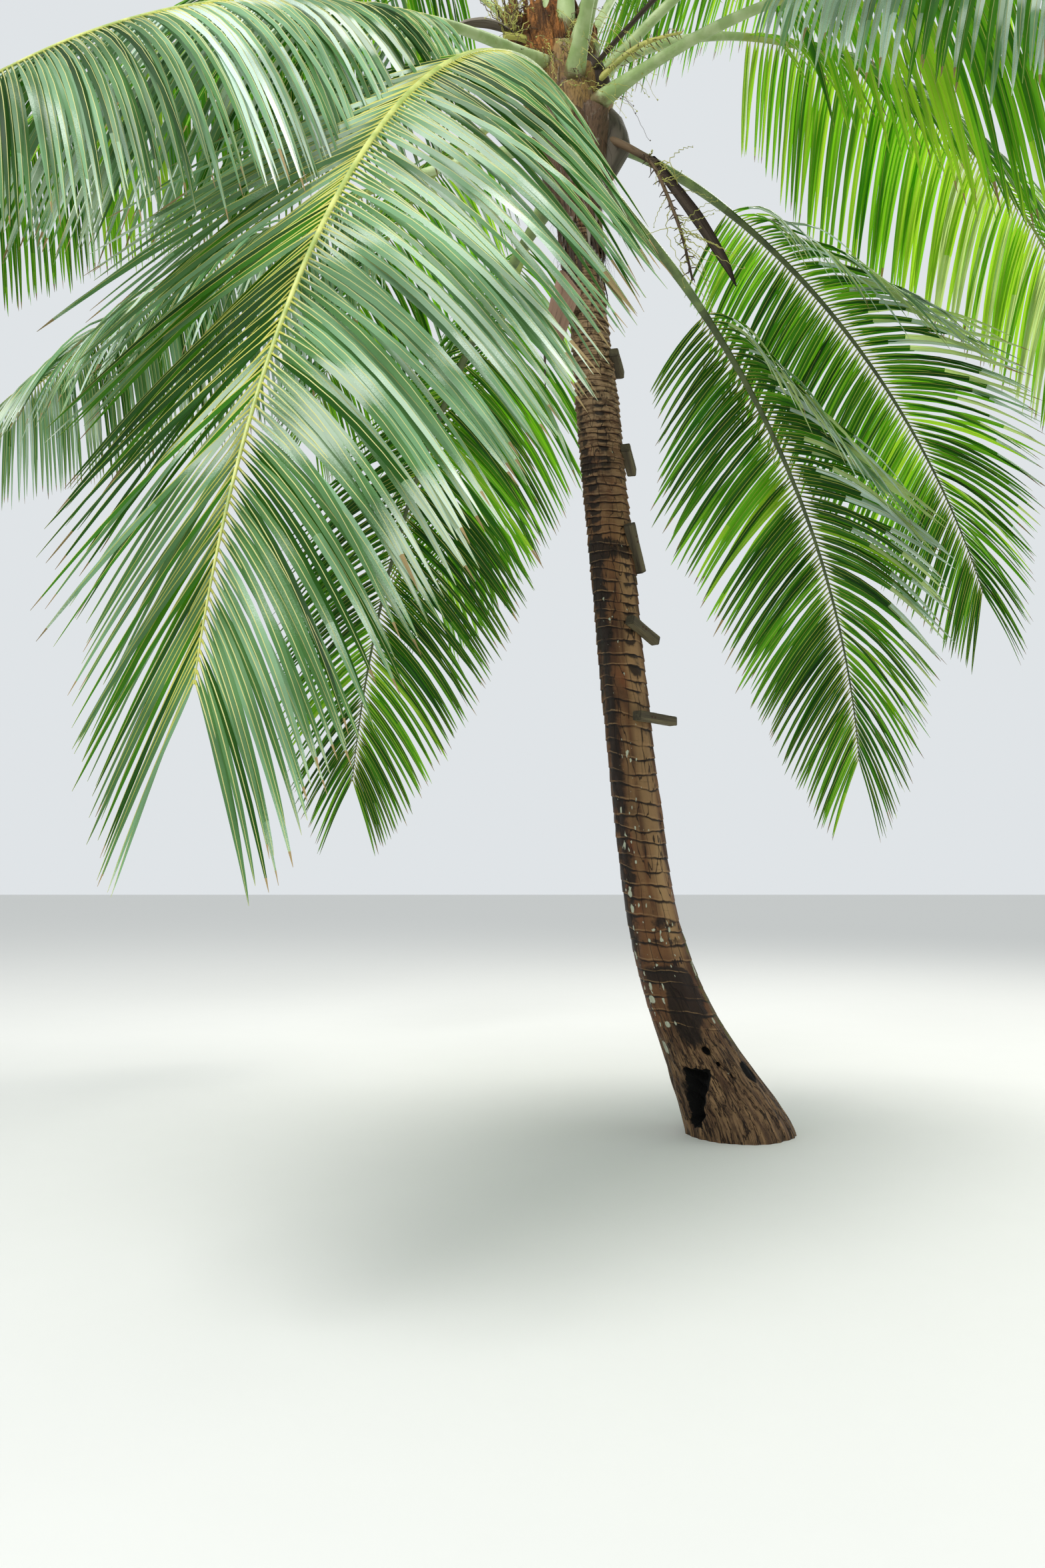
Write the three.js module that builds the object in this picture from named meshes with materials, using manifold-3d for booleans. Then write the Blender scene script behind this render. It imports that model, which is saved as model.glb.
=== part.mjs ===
// A coconut palm: a leaning ringed trunk with a flared, fire hollowed foot,
// short wooden climbing steps nailed to it, a crown sheath, and arching
// fronds. Millimetres, Z up. The origin is the middle of the flat cut under
// the trunk; X points to the right as the trunk leans left, Y to the back.

import * as THREE from 'three';
import Module from 'manifold-3d';

const wasm = await Module();
wasm.setup();

// Trunk
const TRUNK_TOP = 5100;            // height where the crown sheath begins
const TRUNK_SIDES = 18;
const TRUNK_RINGS = 30;
const TRUNK_RING_POWER = 1.5;       // rings stand closer towards the foot
const TRUNK_RADIUS = 136;          // at the ground, without the flare
const TRUNK_TAPER = 0.0055;        // radius lost per unit of height
const NECK_LOSS = 18;              // the trunk is thinner under the crown
const NECK_FROM = 3800;
const NECK_TO = 4500;
const FLARE = 135;                 // extra radius of the root flare
const FLARE_HEIGHT = 550;
const FLARE_POWER = 1.5;
const FOOT_LEAN = 391;             // sideways sweep of the foot
const FOOT_LEAN_HEIGHT = 620;
const FOOT_LEAN_POWER = 1.5;
const STEM_LEAN = 0.09;            // steady lean of the rest of the stem

// Charred hollow in the foot
const HOLLOW_AZIMUTH = 236;
const HOLLOW_WIDTH = 190;
const HOLLOW_BOTTOM = 50;
const HOLLOW_TOP = 372;
const HOLLOW_DEPTH = 85;
const HOLLOW_OUTLINE = [           // shares of its width and of its height
  [-0.82, 0], [-0.49, 0], [-0.34, 0.13], [0.16, 0.57], [0.62, 0.985], [-0.2, 1], [-0.53, 0.57],
  [-0.86, 0.13],
];
const HOLLOW_LAYERS = [            // share of the outline, distance below the bark
  { share: 0.55, distance: HOLLOW_DEPTH },
  { share: 0.95, distance: 30 },
  { share: 1.1, distance: -60 },
];

// Crown sheath
const SHEATH_SIDES = 16;
const SHEATH_HEIGHTS = [0, 150, 350, 600, 850, 1050, 1200];
const SHEATH_RADII = [118, 148, 170, 165, 138, 98, 46];
const GAP = 0.3;                   // clearance between neighbouring parts

// Spear: the newest leaf, still folded
const SPEAR_LENGTH = 2100;
const SPEAR_RADIUS = 34;
const SPEAR_SIDES = 8;
const SPEAR_SHARES = [0, 0.25, 0.6];
const SPEAR_WIDTHS = [0.8, 1, 0.7];

// Frond rib sections: half widths and half heights
const PETIOLE_SHARE = 0.27;        // part of the rib that bears no leaflets
const BASE_HALF_WIDTH = 66;
const BASE_HALF_HEIGHT = 34;
const PETIOLE_HALF_WIDTH = 38;
const PETIOLE_HALF_HEIGHT = 24;
const RIB_HALF_WIDTH = 27;         // at the first leaflets
const RIB_HALF_HEIGHT = 17;
const RIB_TIP_HALF_WIDTH = 7;
const RIB_TIP_HALF_HEIGHT = 6;
const RIB_ROOT = 0.45;              // of the sheath's radius, where a rib starts
const BASE_FLARE_SHARE = 0.11;     // the clasping base ends here
const RIB_TAPER_POWER = 0.75;
const RIB_UNDERSIDE = 0.62;        // the lower face is narrower than the upper
const WHOLE_FROM = 16;             // the young fronds from this row on are whole
const RIB_STEPS = 120;             // steps that trace a rib's curve
const BLADE_STATIONS = 23;         // leaflets on each side of a frond
const PETIOLE_STATIONS = 4;
const SPLIT_SHARE = 0.5;           // a frond is two pieces, parted here

// Leaflets, each the outline of a tuft of narrow ones
const LEAFLET_LENGTH = 1180;
const LEAFLET_THICKNESS = 0.0115;  // of its length
const LEAFLET_FILL = 0.62;         // of the room between its neighbours
const LEAFLET_MIDDLE = 0.45;
const LEAFLET_STEPS = 20;
const LEAFLET_LIFT = -12;          // degrees above the rib's side
const FOLD = [10, 10];
const FOLD_FROM = 0.35;            // shares of the blade where folding fades away
const FOLD_TO = 0.85;
const SAG = [0.2, 0.2];
const SAG_TO = 0.45;
const LEAFLET_FIRST = 0.52;        // length of the first one, of the longest
const LEAFLET_GROWN = 0.24;        // share of the blade where they are longest
const LEAFLET_LAST_LOSS = 0.5;     // the last one is this much shorter
const LEAFLET_LAST_POWER = 2.5;
const SPREAD_FIRST = 74;           // degrees between rib and leaflet
const SPREAD_LOSS = 18;
const SPREAD_LAST_LOSS = 28;
const SPREAD_LAST_POWER = 5;

// Climbing steps of sawn wood
const STEP_SECTION = 50;

const RAD = Math.PI / 180;
const UP = new THREE.Vector3(0, 0, 1);

// Ribs: azimuth and height where one leaves the crown, its rise at the crown
// and its fall at the tip in degrees, how soon it bends, its length, its turn
// to the side in degrees, and how far its leaflets hang on either side. Some
// have longer leaflets, or ones that fold down, or up, by other degrees on
// either side, and sag more at first.
const FRONDS = [
  {
    azimuth: 258, height: 5450, rise: -10, fall: -81, bend: 0.95, length: 5300, turn: -18,
    hang: [0.8, 0.4], reach: 1.08, fold: [13, -8], sag: [1, 0],
  },
  {
    azimuth: 232, height: 5760, rise: -9, fall: -48, bend: 0.73, length: 4400, turn: 21,
    hang: [2.0, 2.0], fold: [8, 8], sag: [0.2, 0.2],
  },
  {
    azimuth: 154, height: 5410, rise: 8, fall: -33, bend: 0.91, length: 4500, turn: 5,
    hang: [2.2, 2.2], fold: [8, 8], sag: [0.2, 0.2],
  },
  {
    azimuth: 124, height: 5220, rise: -21, fall: -77, bend: 0.97, length: 4400, turn: -3,
    hang: [0.7, 0.7], fold: [4, 4], sag: [0, 0],
  },
  {
    azimuth: 43, height: 5270, rise: -15, fall: -86, bend: 0.92, length: 4300, turn: -9,
    hang: [0.5, 0.9], fold: [-6, -28], sag: [0, 2.2],
  },
  {
    azimuth: 40, height: 5460, rise: 15, fall: -68, bend: 0.8, length: 4500, turn: -14,
    hang: [0.7, 0.7], fold: [-6, -34], sag: [0, 3],
  },
  { azimuth: 315, height: 5500, rise: 12, fall: -67, bend: 0.97, length: 4700, turn: 4, hang: [2.2, 1.5] },
  { azimuth: 20, height: 5700, rise: 51, fall: -79, bend: 0.85, length: 4600, turn: -5, hang: [1.9, 1.9] },
  { azimuth: 100, height: 5450, rise: 8, fall: -64, bend: 1.0, length: 4200, turn: 14, hang: [1.2, 1.2] },
  { azimuth: 168, height: 5660, rise: 36, fall: -50, bend: 1.1, length: 4500, turn: -6, hang: [1.7, 1.7] },
  { azimuth: 116, height: 5600, rise: 34, fall: -52, bend: 1.1, length: 4500, turn: 8, hang: [1.6, 1.6] },
  { azimuth: 278, height: 5600, rise: 26, fall: -42, bend: 1.1, length: 4400, turn: 6, hang: [1.6, 1.6] },
  { azimuth: 347, height: 5610, rise: 50, fall: -40, bend: 1.15, length: 4500, turn: -5, hang: [1.5, 1.5] },
  { azimuth: 292, height: 5740, rise: 46, fall: -35, bend: 1.2, length: 4400, turn: 8, hang: [1.4, 1.4] },
  { azimuth: 50, height: 5770, rise: 65, fall: 2, bend: 1.35, length: 4300, turn: -6, hang: [1.0, 1.0] },
  { azimuth: 140, height: 5800, rise: 58, fall: -25, bend: 1.3, length: 4300, turn: 5, hang: [1.2, 1.2] },
  { azimuth: 272, height: 5860, rise: 66, fall: 8, bend: 1.35, length: 4100, turn: -6, hang: [0.8, 0.8] },
  { azimuth: 104, height: 5900, rise: 74, fall: 30, bend: 1.4, length: 3800, turn: 5, hang: [0.6, 0.6] },
  { azimuth: 338, height: 5930, rise: 70, fall: 20, bend: 1.4, length: 3900, turn: 6, hang: [0.7, 0.7] },
  { azimuth: 188, height: 5980, rise: 80, fall: 44, bend: 1.5, length: 3500, turn: 0, hang: [0.5, 0.5] },
];

// Basic shapes

function smooth(from, to, x) {
  const t = Math.min(1, Math.max(0, (x - from) / (to - from)));
  return t * t * (3 - 2 * t);
}

function point(x, y, z) {
  return new THREE.Vector3(x, y, z);
}

// A solid from rings of points: every ring has the same count, the last may
// be a single point.
function loft(rings) {
  const points = rings.flat();
  const count = rings[0].length;
  const faces = [];
  for (let side = 1; side < count - 1; side++) faces.push([0, side + 1, side]);
  for (let ring = 0; ring < rings.length - 1; ring++) {
    const low = ring * count;
    const high = low + count;
    const pointed = rings[ring + 1].length === 1;
    for (let side = 0; side < count; side++) {
      const next = (side + 1) % count;
      if (pointed) {
        faces.push([low + side, low + next, high]);
      } else {
        faces.push([low + side, low + next, high + next], [low + side, high + next, high + side]);
      }
    }
  }
  const last = rings[rings.length - 1];
  if (last.length > 1) {
    const start = points.length - count;
    for (let side = 1; side < count - 1; side++) faces.push([start, start + side, start + side + 1]);
  }
  return { points, faces };
}

function solid({ points, faces }) {
  const vertProperties = new Float32Array(points.flatMap((p) => [p.x, p.y, p.z]));
  const triVerts = new Uint32Array(faces.flat());
  const mesh = new wasm.Mesh({ numProp: 3, vertProperties, triVerts });
  return new wasm.Manifold(mesh);
}

function meets(one, other) {
  return one.intersect(other).getMesh().triVerts.length > 0;
}

// Trunk

function trunkRadius(z) {
  const flare = FLARE * Math.exp(-Math.pow(z / FLARE_HEIGHT, FLARE_POWER));
  return TRUNK_RADIUS - TRUNK_TAPER * z - NECK_LOSS * smooth(NECK_FROM, NECK_TO, z) + flare;
}

function stemCentre(z) {
  const sweep = 1 - Math.exp(-Math.pow(z / FOOT_LEAN_HEIGHT, FOOT_LEAN_POWER));
  return -FOOT_LEAN * sweep - STEM_LEAN * z;
}

function levelRing(z, radius, sides) {
  const ring = [];
  for (let side = 0; side < sides; side++) {
    const angle = (2 * Math.PI * side) / sides;
    ring.push(point(stemCentre(z) + radius * Math.cos(angle), radius * Math.sin(angle), z));
  }
  return ring;
}

function stemSolid(grow) {
  const rings = [];
  for (let ring = 0; ring <= TRUNK_RINGS; ring++) {
    const z = TRUNK_TOP * Math.pow(ring / TRUNK_RINGS, TRUNK_RING_POWER);
    rings.push(levelRing(z, trunkRadius(z) + grow, TRUNK_SIDES));
  }
  return solid(loft(rings));
}

function trunkSolid() {
  return stemSolid(0).subtract(hollowCutter());
}

// The hollow: an opening with a straight head and a narrower foot, running
// into the trunk.
function hollowCutter() {
  const outward = point(Math.cos(HOLLOW_AZIMUTH * RAD), Math.sin(HOLLOW_AZIMUTH * RAD), 0);
  const across = point(-outward.y, outward.x, 0);
  const height = HOLLOW_TOP - HOLLOW_BOTTOM;
  const layer = ({ share, distance }) => HOLLOW_OUTLINE.map(([side, level]) => {
    const z = HOLLOW_BOTTOM + height * (0.5 + (level - 0.5) * share);
    const reach = trunkRadius(z) - distance;
    return point(stemCentre(z), 0, z)
      .addScaledVector(outward, reach)
      .addScaledVector(across, side * share * HOLLOW_WIDTH);
  });
  return solid(loft(HOLLOW_LAYERS.map(layer)));
}

// Crown sheath and spear

function sheathSolid(grow) {
  const rings = SHEATH_HEIGHTS.map((height, index) => {
    const last = SHEATH_HEIGHTS.length - 1;
    const lift = index === 0 ? GAP - grow : index === last ? grow : 0;
    return levelRing(TRUNK_TOP + height + lift, SHEATH_RADII[index] + grow, SHEATH_SIDES);
  });
  return solid(loft(rings));
}

function sheathRadius(z) {
  const height = z - TRUNK_TOP;
  let index = 0;
  while (index < SHEATH_HEIGHTS.length - 2 && height > SHEATH_HEIGHTS[index + 1]) index++;
  const span = SHEATH_HEIGHTS[index + 1] - SHEATH_HEIGHTS[index];
  const share = (height - SHEATH_HEIGHTS[index]) / span;
  return SHEATH_RADII[index] + share * (SHEATH_RADII[index + 1] - SHEATH_RADII[index]);
}

function spearSolid() {
  const start = TRUNK_TOP + SHEATH_HEIGHTS[SHEATH_HEIGHTS.length - 1] + GAP;
  const rings = SPEAR_SHARES.map((share, index) => {
    return levelRing(start + share * SPEAR_LENGTH, SPEAR_RADIUS * SPEAR_WIDTHS[index], SPEAR_SIDES);
  });
  const tip = start + SPEAR_LENGTH;
  return solid(loft([...rings, [point(stemCentre(tip), 0, tip)]]));
}

// Frond ribs

// Traces a rib from the crown outward: where it is and how it points at
// every step.
function traceRib(frond) {
  const frames = [];
  const z = frond.height;
  const start = frond.azimuth * RAD;
  const reach = RIB_ROOT * sheathRadius(z);
  let at = point(stemCentre(z) + reach * Math.cos(start), reach * Math.sin(start), z);
  const step = frond.length / RIB_STEPS;
  for (let index = 0; index <= RIB_STEPS; index++) {
    const share = index / RIB_STEPS;
    const slope = (frond.rise + (frond.fall - frond.rise) * Math.pow(share, frond.bend)) * RAD;
    const azimuth = (frond.azimuth + frond.turn * share) * RAD;
    const along = point(
      Math.cos(slope) * Math.cos(azimuth),
      Math.cos(slope) * Math.sin(azimuth),
      Math.sin(slope),
    );
    const side = point(-Math.sin(azimuth), Math.cos(azimuth), 0);
    const up = along.clone().cross(side);
    frames.push({ at: at.clone(), along, side, up });
    at = at.clone().addScaledVector(along, step);
  }
  return frames;
}

function frameAt(frames, share) {
  const place = Math.min(RIB_STEPS, Math.max(0, share * RIB_STEPS));
  const index = Math.min(RIB_STEPS - 1, Math.floor(place));
  const mix = place - index;
  const one = frames[index];
  const two = frames[index + 1];
  const blend = (key) => one[key].clone().lerp(two[key], mix);
  return {
    at: blend('at'),
    along: blend('along').normalize(),
    side: blend('side').normalize(),
    up: blend('up').normalize(),
  };
}

function ribHalfSizes(share) {
  if (share < PETIOLE_SHARE) {
    const flare = 1 - smooth(0, BASE_FLARE_SHARE, share);
    const taper = share / PETIOLE_SHARE;
    const width = PETIOLE_HALF_WIDTH + (RIB_HALF_WIDTH - PETIOLE_HALF_WIDTH) * taper;
    const height = PETIOLE_HALF_HEIGHT + (RIB_HALF_HEIGHT - PETIOLE_HALF_HEIGHT) * taper;
    return {
      width: width + (BASE_HALF_WIDTH - width) * flare,
      height: height + (BASE_HALF_HEIGHT - height) * flare,
    };
  }
  const t = (share - PETIOLE_SHARE) / (1 - PETIOLE_SHARE);
  const taper = Math.pow(t, RIB_TAPER_POWER);
  return {
    width: RIB_HALF_WIDTH + (RIB_TIP_HALF_WIDTH - RIB_HALF_WIDTH) * taper,
    height: RIB_HALF_HEIGHT + (RIB_TIP_HALF_HEIGHT - RIB_HALF_HEIGHT) * taper,
  };
}

// The four corners of a rib's section: upper left, upper right, lower right
// and lower left.
function ribSection(frames, share, shift) {
  const frame = frameAt(frames, share);
  const { width, height } = ribHalfSizes(share);
  const centre = frame.at.clone().addScaledVector(frame.along, shift);
  const corner = (side, up) => centre.clone()
    .addScaledVector(frame.side, side)
    .addScaledVector(frame.up, up);
  return [
    corner(width, height),
    corner(-width, height),
    corner(-width * RIB_UNDERSIDE, -height),
    corner(width * RIB_UNDERSIDE, -height),
  ];
}

// Leaflets

function leafletLength(t) {
  const grown = LEAFLET_FIRST + (1 - LEAFLET_FIRST) * smooth(0, LEAFLET_GROWN, t);
  return LEAFLET_LENGTH * grown * (1 - LEAFLET_LAST_LOSS * Math.pow(t, LEAFLET_LAST_POWER));
}

function leafletSpread(t) {
  return SPREAD_FIRST - SPREAD_LOSS * t - SPREAD_LAST_LOSS * Math.pow(t, SPREAD_LAST_POWER);
}

// The way a leaflet runs: out from the rib, then hanging more and more.
function leafletRun(frame, side, t, { hang, swing, fold }, length) {
  const spread = (leafletSpread(t) + swing) * RAD;
  const lift = (LEAFLET_LIFT - fold * (1 - smooth(FOLD_FROM, FOLD_TO, t))) * RAD;
  const out = frame.side.clone()
    .multiplyScalar(side * Math.cos(lift))
    .addScaledVector(frame.up, Math.sin(lift));
  const first = frame.along.clone()
    .multiplyScalar(Math.cos(spread))
    .addScaledVector(out, Math.sin(spread));
  const path = [point(0, 0, 0)];
  const ways = [first.clone()];
  for (let index = 0; index < LEAFLET_STEPS; index++) {
    const share = (index + 0.5) / LEAFLET_STEPS;
    const way = first.clone().addScaledVector(UP, -hang * share).normalize();
    path.push(path[index].clone().addScaledVector(way, length / LEAFLET_STEPS));
    ways.push(way);
  }
  return { path, ways };
}

// A leaflet stands on the rib's side between two stations: its root is that
// side's four corners, its middle a ridged section, its end a point.
function leafletPoints(root, frame, side, t, spacing, choice) {
  const length = leafletLength(t) * choice.length;
  const { path, ways } = leafletRun(frame, side, t, choice, length);
  const middle = Math.round(LEAFLET_MIDDLE * LEAFLET_STEPS);
  const start = root.reduce((sum, p) => sum.add(p), point(0, 0, 0)).multiplyScalar(0.25);
  const way = ways[middle];
  const across = frame.along.clone().addScaledVector(way, -frame.along.dot(way)).normalize();
  const normal = way.clone().cross(across).multiplyScalar(-side);
  const half = 0.5 * LEAFLET_FILL * spacing * Math.sin(leafletSpread(t) * RAD) + choice.grow;
  const thick = LEAFLET_THICKNESS * length + choice.grow;
  const centre = start.clone().add(path[middle]);
  return [
    centre.clone().addScaledVector(normal, thick),
    centre.clone().addScaledVector(across, half),
    centre.clone().addScaledVector(across, -half),
    start.clone().add(path[LEAFLET_STEPS]).addScaledVector(way, choice.grow),
  ];
}

// Faces from a root of four corners to the ridged middle and the point
const LEAFLET_FACES = [
  [0, 1, 4], [1, 5, 4], [1, 2, 5], [2, 3, 6], [2, 6, 5], [3, 0, 6], [0, 4, 6],
  [4, 5, 7], [6, 4, 7], [5, 6, 7],
];
const ROOT_FACES = [[0, 3, 2], [0, 2, 1]];

function turned(faces, side) {
  return side > 0 ? faces : faces.map(([a, b, c]) => [a, c, b]);
}

function leafletSolid(root, points, side) {
  const faces = turned([...LEAFLET_FACES, ...ROOT_FACES], side);
  return solid({ points: [...root, ...points], faces });
}

// Wood and stalks along a line

function beam(centre, run, length, section) {
  const flat = run.clone().cross(UP).normalize();
  const high = run.clone().cross(flat);
  const ring = (end) => [[-1, -1], [1, -1], [1, 1], [-1, 1]].map(([a, b]) => {
    return centre.clone()
      .addScaledVector(run, (end * length) / 2)
      .addScaledVector(flat, (a * section) / 2)
      .addScaledVector(high, (b * section) / 2);
  });
  return solid(loft([ring(-1), ring(1)]));
}

function tube(path, radii, sides, flatness) {
  const rings = path.map((at, index) => {
    const before = path[Math.max(0, index - 1)];
    const after = path[Math.min(path.length - 1, index + 1)];
    const run = after.clone().sub(before).normalize();
    const flat = run.clone().cross(UP).normalize();
    const high = run.clone().cross(flat);
    if (radii[index] === 0) return [at];
    const ring = [];
    for (let side = 0; side < sides; side++) {
      const angle = (2 * Math.PI * side) / sides;
      const wide = radii[index] * Math.cos(angle);
      const tall = radii[index] * flatness * Math.sin(angle);
      ring.push(at.clone().addScaledVector(flat, wide).addScaledVector(high, tall));
    }
    return ring;
  });
  return solid(loft(rings));
}

function pathOf(places) {
  return places.map(([x, y, z]) => point(x, y, z));
}

// Climbing steps: where each is nailed on, how far it is pushed along its
// own run, how it slopes and how long it is.
const STEPS = [
  { height: 2180, azimuth: -40, push: 50, slope: 0, length: 350 },
  { height: 2655, azimuth: -40, push: 20, slope: -18, length: 260 },
  { height: 3137, azimuth: -35, push: 45, slope: -64, length: 270 },
  { height: 3628, azimuth: -15, push: 60, slope: -20, length: 220 },
  { height: 4156, azimuth: -15, push: 45, slope: -15, length: 200 },
];
const STEP_BITE = 4;               // how deep the trunk's curve cuts a step

function stepSolid(step, grownTrunk) {
  const outward = point(Math.cos(step.azimuth * RAD), Math.sin(step.azimuth * RAD), 0);
  const level = point(-outward.y, outward.x, 0);
  const run = level
    .multiplyScalar(Math.cos(step.slope * RAD))
    .addScaledVector(UP, Math.sin(step.slope * RAD));
  const centre = point(stemCentre(step.height), 0, step.height)
    .addScaledVector(outward, trunkRadius(step.height) + STEP_SECTION / 2 - STEP_BITE)
    .addScaledVector(run, step.push);
  return beam(centre, run, step.length, STEP_SECTION).subtract(grownTrunk);
}

// Flower stalks and their dry sheaths

const SPIKE_SIDES = 4;
const SPIKE_TURN = 2.4;            // radians from one spike to the next
const SPIKE_SWEEP = 0.4;           // how far a spike leans along its branch
const SPIKE_RADIUS = 6;

// Short dry stubs on both sides of a flower branch
function spikes(from, to, count, length) {
  const run = to.clone().sub(from);
  const way = run.clone().normalize();
  const across = run.clone().cross(UP).normalize();
  const tall = across.clone().cross(run).normalize();
  let all = null;
  for (let index = 0; index < count; index++) {
    const foot = from.clone().addScaledVector(run, (index + 0.5) / count);
    const turn = index * SPIKE_TURN;
    const out = across.clone()
      .multiplyScalar(Math.cos(turn))
      .addScaledVector(tall, Math.sin(turn));
    const tip = foot.clone()
      .addScaledVector(out, length)
      .addScaledVector(way, length * SPIKE_SWEEP);
    const one = tube([foot, tip], [SPIKE_RADIUS, 0], SPIKE_SIDES, 1);
    all = all ? all.add(one) : one;
  }
  return all;
}

function spentFlowerRight() {
  const stalk = pathOf([[-800, -20, 5430], [-640, -60, 5370], [-420, -120, 5210]]);
  const sheath = pathOf([
    [-450, -115, 5240], [-420, -120, 5200], [-220, -180, 4880], [-80, -200, 4630], [-10, -200, 4470],
  ]);
  const branch = pathOf([
    [-480, -105, 5255], [-430, -160, 5150], [-360, -220, 4930], [-300, -240, 4730], [-250, -250, 4490],
  ]);
  return tube(stalk, [26, 22, 18], 6, 1)
    .add(tube(sheath, [16, 24, 36, 26, 0], 6, 0.45))
    .add(tube(branch, [12, 11, 10, 9, 7], 5, 1))
    .add(spikes(branch[1], branch[2], 7, 55))
    .add(spikes(branch[2], branch[3], 7, 50))
    .add(spikes(branch[3], branch[4], 7, 45));
}

function flowerStalkRight() {
  const stalk = pathOf([
    [-850, -60, 5600], [-735, -120, 5680], [-620, -170, 5765],
    [-520, -200, 5820], [-420, -220, 5850], [-290, -240, 5870],
  ]);
  return tube(stalk, [20, 18, 16, 14, 12, 8], 6, 1)
    .add(spikes(stalk[2], stalk[3], 6, 50))
    .add(spikes(stalk[3], stalk[4], 6, 55))
    .add(spikes(stalk[4], stalk[5], 7, 55));
}

function darkSheathRight() {
  const path = pathOf([
    [-860, -60, 5680], [-780, -140, 5740], [-680, -210, 5830], [-540, -260, 5960],
    [-410, -300, 6080], [-250, -350, 6260], [-120, -390, 6440],
  ]);
  return tube(path, [28, 32, 34, 34, 32, 22, 0], 7, 0.75);
}

// The cluster: a stalk with a boat shaped dry sheath, and branches that fan
// out upward from the stalk's end.
const CLUSTER_BRANCHES = 9;
const CLUSTER_FAN = 1.3;           // radians from the first branch to the last
const CLUSTER_LENGTH = 430;
const CLUSTER_LENGTH_LOSS = 60;    // the outer branches are shorter
const CLUSTER_FOOT_STEP = 0.07;    // of the stalk's last part, between branches

function flowerClusterLeft() {
  const stalk = pathOf([[-990, -40, 5860], [-1130, -110, 5920], [-1250, -170, 5905]]);
  const boat = pathOf([
    [-1220, -155, 5915], [-1310, -200, 5915], [-1430, -250, 5895], [-1560, -300, 5835],
  ]);
  let all = tube(stalk, [24, 20, 18], 6, 1).add(tube(boat, [16, 44, 40, 0], 6, 0.5));
  for (let index = 0; index < CLUSTER_BRANCHES; index++) {
    const lean = (index / (CLUSTER_BRANCHES - 1) - 0.5) * CLUSTER_FAN;
    const length = CLUSTER_LENGTH - CLUSTER_LENGTH_LOSS * Math.abs(lean);
    const foot = stalk[2].clone().lerp(stalk[1], CLUSTER_FOOT_STEP * index);
    const away = point(Math.sin(lean), -0.25 + 0.12 * (index % 3), Math.cos(lean)).normalize();
    const bend = foot.clone().addScaledVector(away, length * 0.5);
    const tip = foot.clone().addScaledVector(away, length).add(point(-30 + 60 * lean, -15, -30));
    all = all.add(tube([foot, bend, tip], [9, 8, 5], SPIKE_SIDES, 1));
  }
  return all;
}

// A dead leaf's base hanging by the trunk's neck: a flat board and a strip
function hangingLeafBase() {
  const outline = [
    [-830, 4480], [-940, 4610], [-1000, 4450], [-1040, 4270], [-960, 4180], [-900, 4310],
  ];
  const layer = (y) => outline.map(([x, z]) => point(x, y, z));
  const strip = pathOf([[-1015, -112, 4330], [-1035, -125, 4150], [-1030, -130, 3940]]);
  return solid(loft([layer(-82), layer(-125)])).add(tube(strip, [14, 10, 7], 5, 1));
}

// Fronds

function stationShares() {
  const shares = [];
  for (let index = 0; index < PETIOLE_STATIONS; index++) {
    shares.push((PETIOLE_SHARE * index) / PETIOLE_STATIONS);
  }
  for (let index = 0; index <= BLADE_STATIONS; index++) {
    shares.push(PETIOLE_SHARE + ((1 - PETIOLE_SHARE) * index) / BLADE_STATIONS);
  }
  return shares;
}

const SHARES = stationShares();
const PARTING = SHARES.findIndex((share) => share >= SPLIT_SHARE);

// The rib's side between two stations, as a leaflet's root
function rootOf(sections, bay, side) {
  const one = sections[bay];
  const two = sections[bay + 1];
  return side > 0 ? [one[0], two[0], two[3], one[3]] : [one[1], two[1], two[2], one[2]];
}

function quad(a, b, c, d) {
  return [[a, b, c], [a, c, d]];
}

// Faces of a frond's piece between two stations, leaflets included
function piece(sections, leaflets, from, to) {
  const points = [];
  const faces = [];
  const index = (station, corner) => (station - from) * 4 + corner;
  for (let station = from; station <= to; station++) points.push(...sections[station]);
  for (let bay = from; bay < to; bay++) {
    const next = bay + 1;
    faces.push(...quad(index(bay, 0), index(bay, 1), index(next, 1), index(next, 0)));
    faces.push(...quad(index(bay, 2), index(bay, 3), index(next, 3), index(next, 2)));
    for (const side of [1, -1]) {
      const root = side > 0
        ? [index(bay, 0), index(next, 0), index(next, 3), index(bay, 3)]
        : [index(bay, 1), index(next, 1), index(next, 2), index(bay, 2)];
      const leaflet = leaflets.get(bay * side);
      const names = leaflet ? [...root, ...leaflet.map((p) => points.push(p) - 1)] : root;
      const shape = leaflet ? LEAFLET_FACES : quad(0, 1, 2, 3);
      faces.push(...turned(shape, side).map((face) => face.map((corner) => names[corner])));
    }
  }
  faces.push(...quad(index(from, 0), index(from, 3), index(from, 2), index(from, 1)));
  faces.push(...quad(index(to, 0), index(to, 1), index(to, 2), index(to, 3)));
  return solid({ points, faces });
}

function obstacle(body, points, owner) {
  return { body, box: new THREE.Box3().setFromPoints(points), owner };
}

function boxOf(body) {
  const mesh = body.getMesh();
  const box = new THREE.Box3();
  for (let index = 0; index < mesh.vertProperties.length; index += 3) {
    box.expandByPoint(point(...mesh.vertProperties.slice(index, index + 3)));
  }
  return box;
}

// Ways a leaflet may be laid when another part is in its place: how far it
// hangs, how it swings, and how much of its length is left.
const CHOICES = [1, 0.8, 0.6, 0.42].flatMap((length) => {
  return [[1, 0], [0.7, 4], [1.35, -4], [0.45, 0]].map(([hang, swing]) => ({ length, hang, swing }));
});
const LEAFLET_ROOM = 2;            // kept free around a leaflet
const TEST_ROOT = 0.12;            // a tested root is this much narrower

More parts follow.
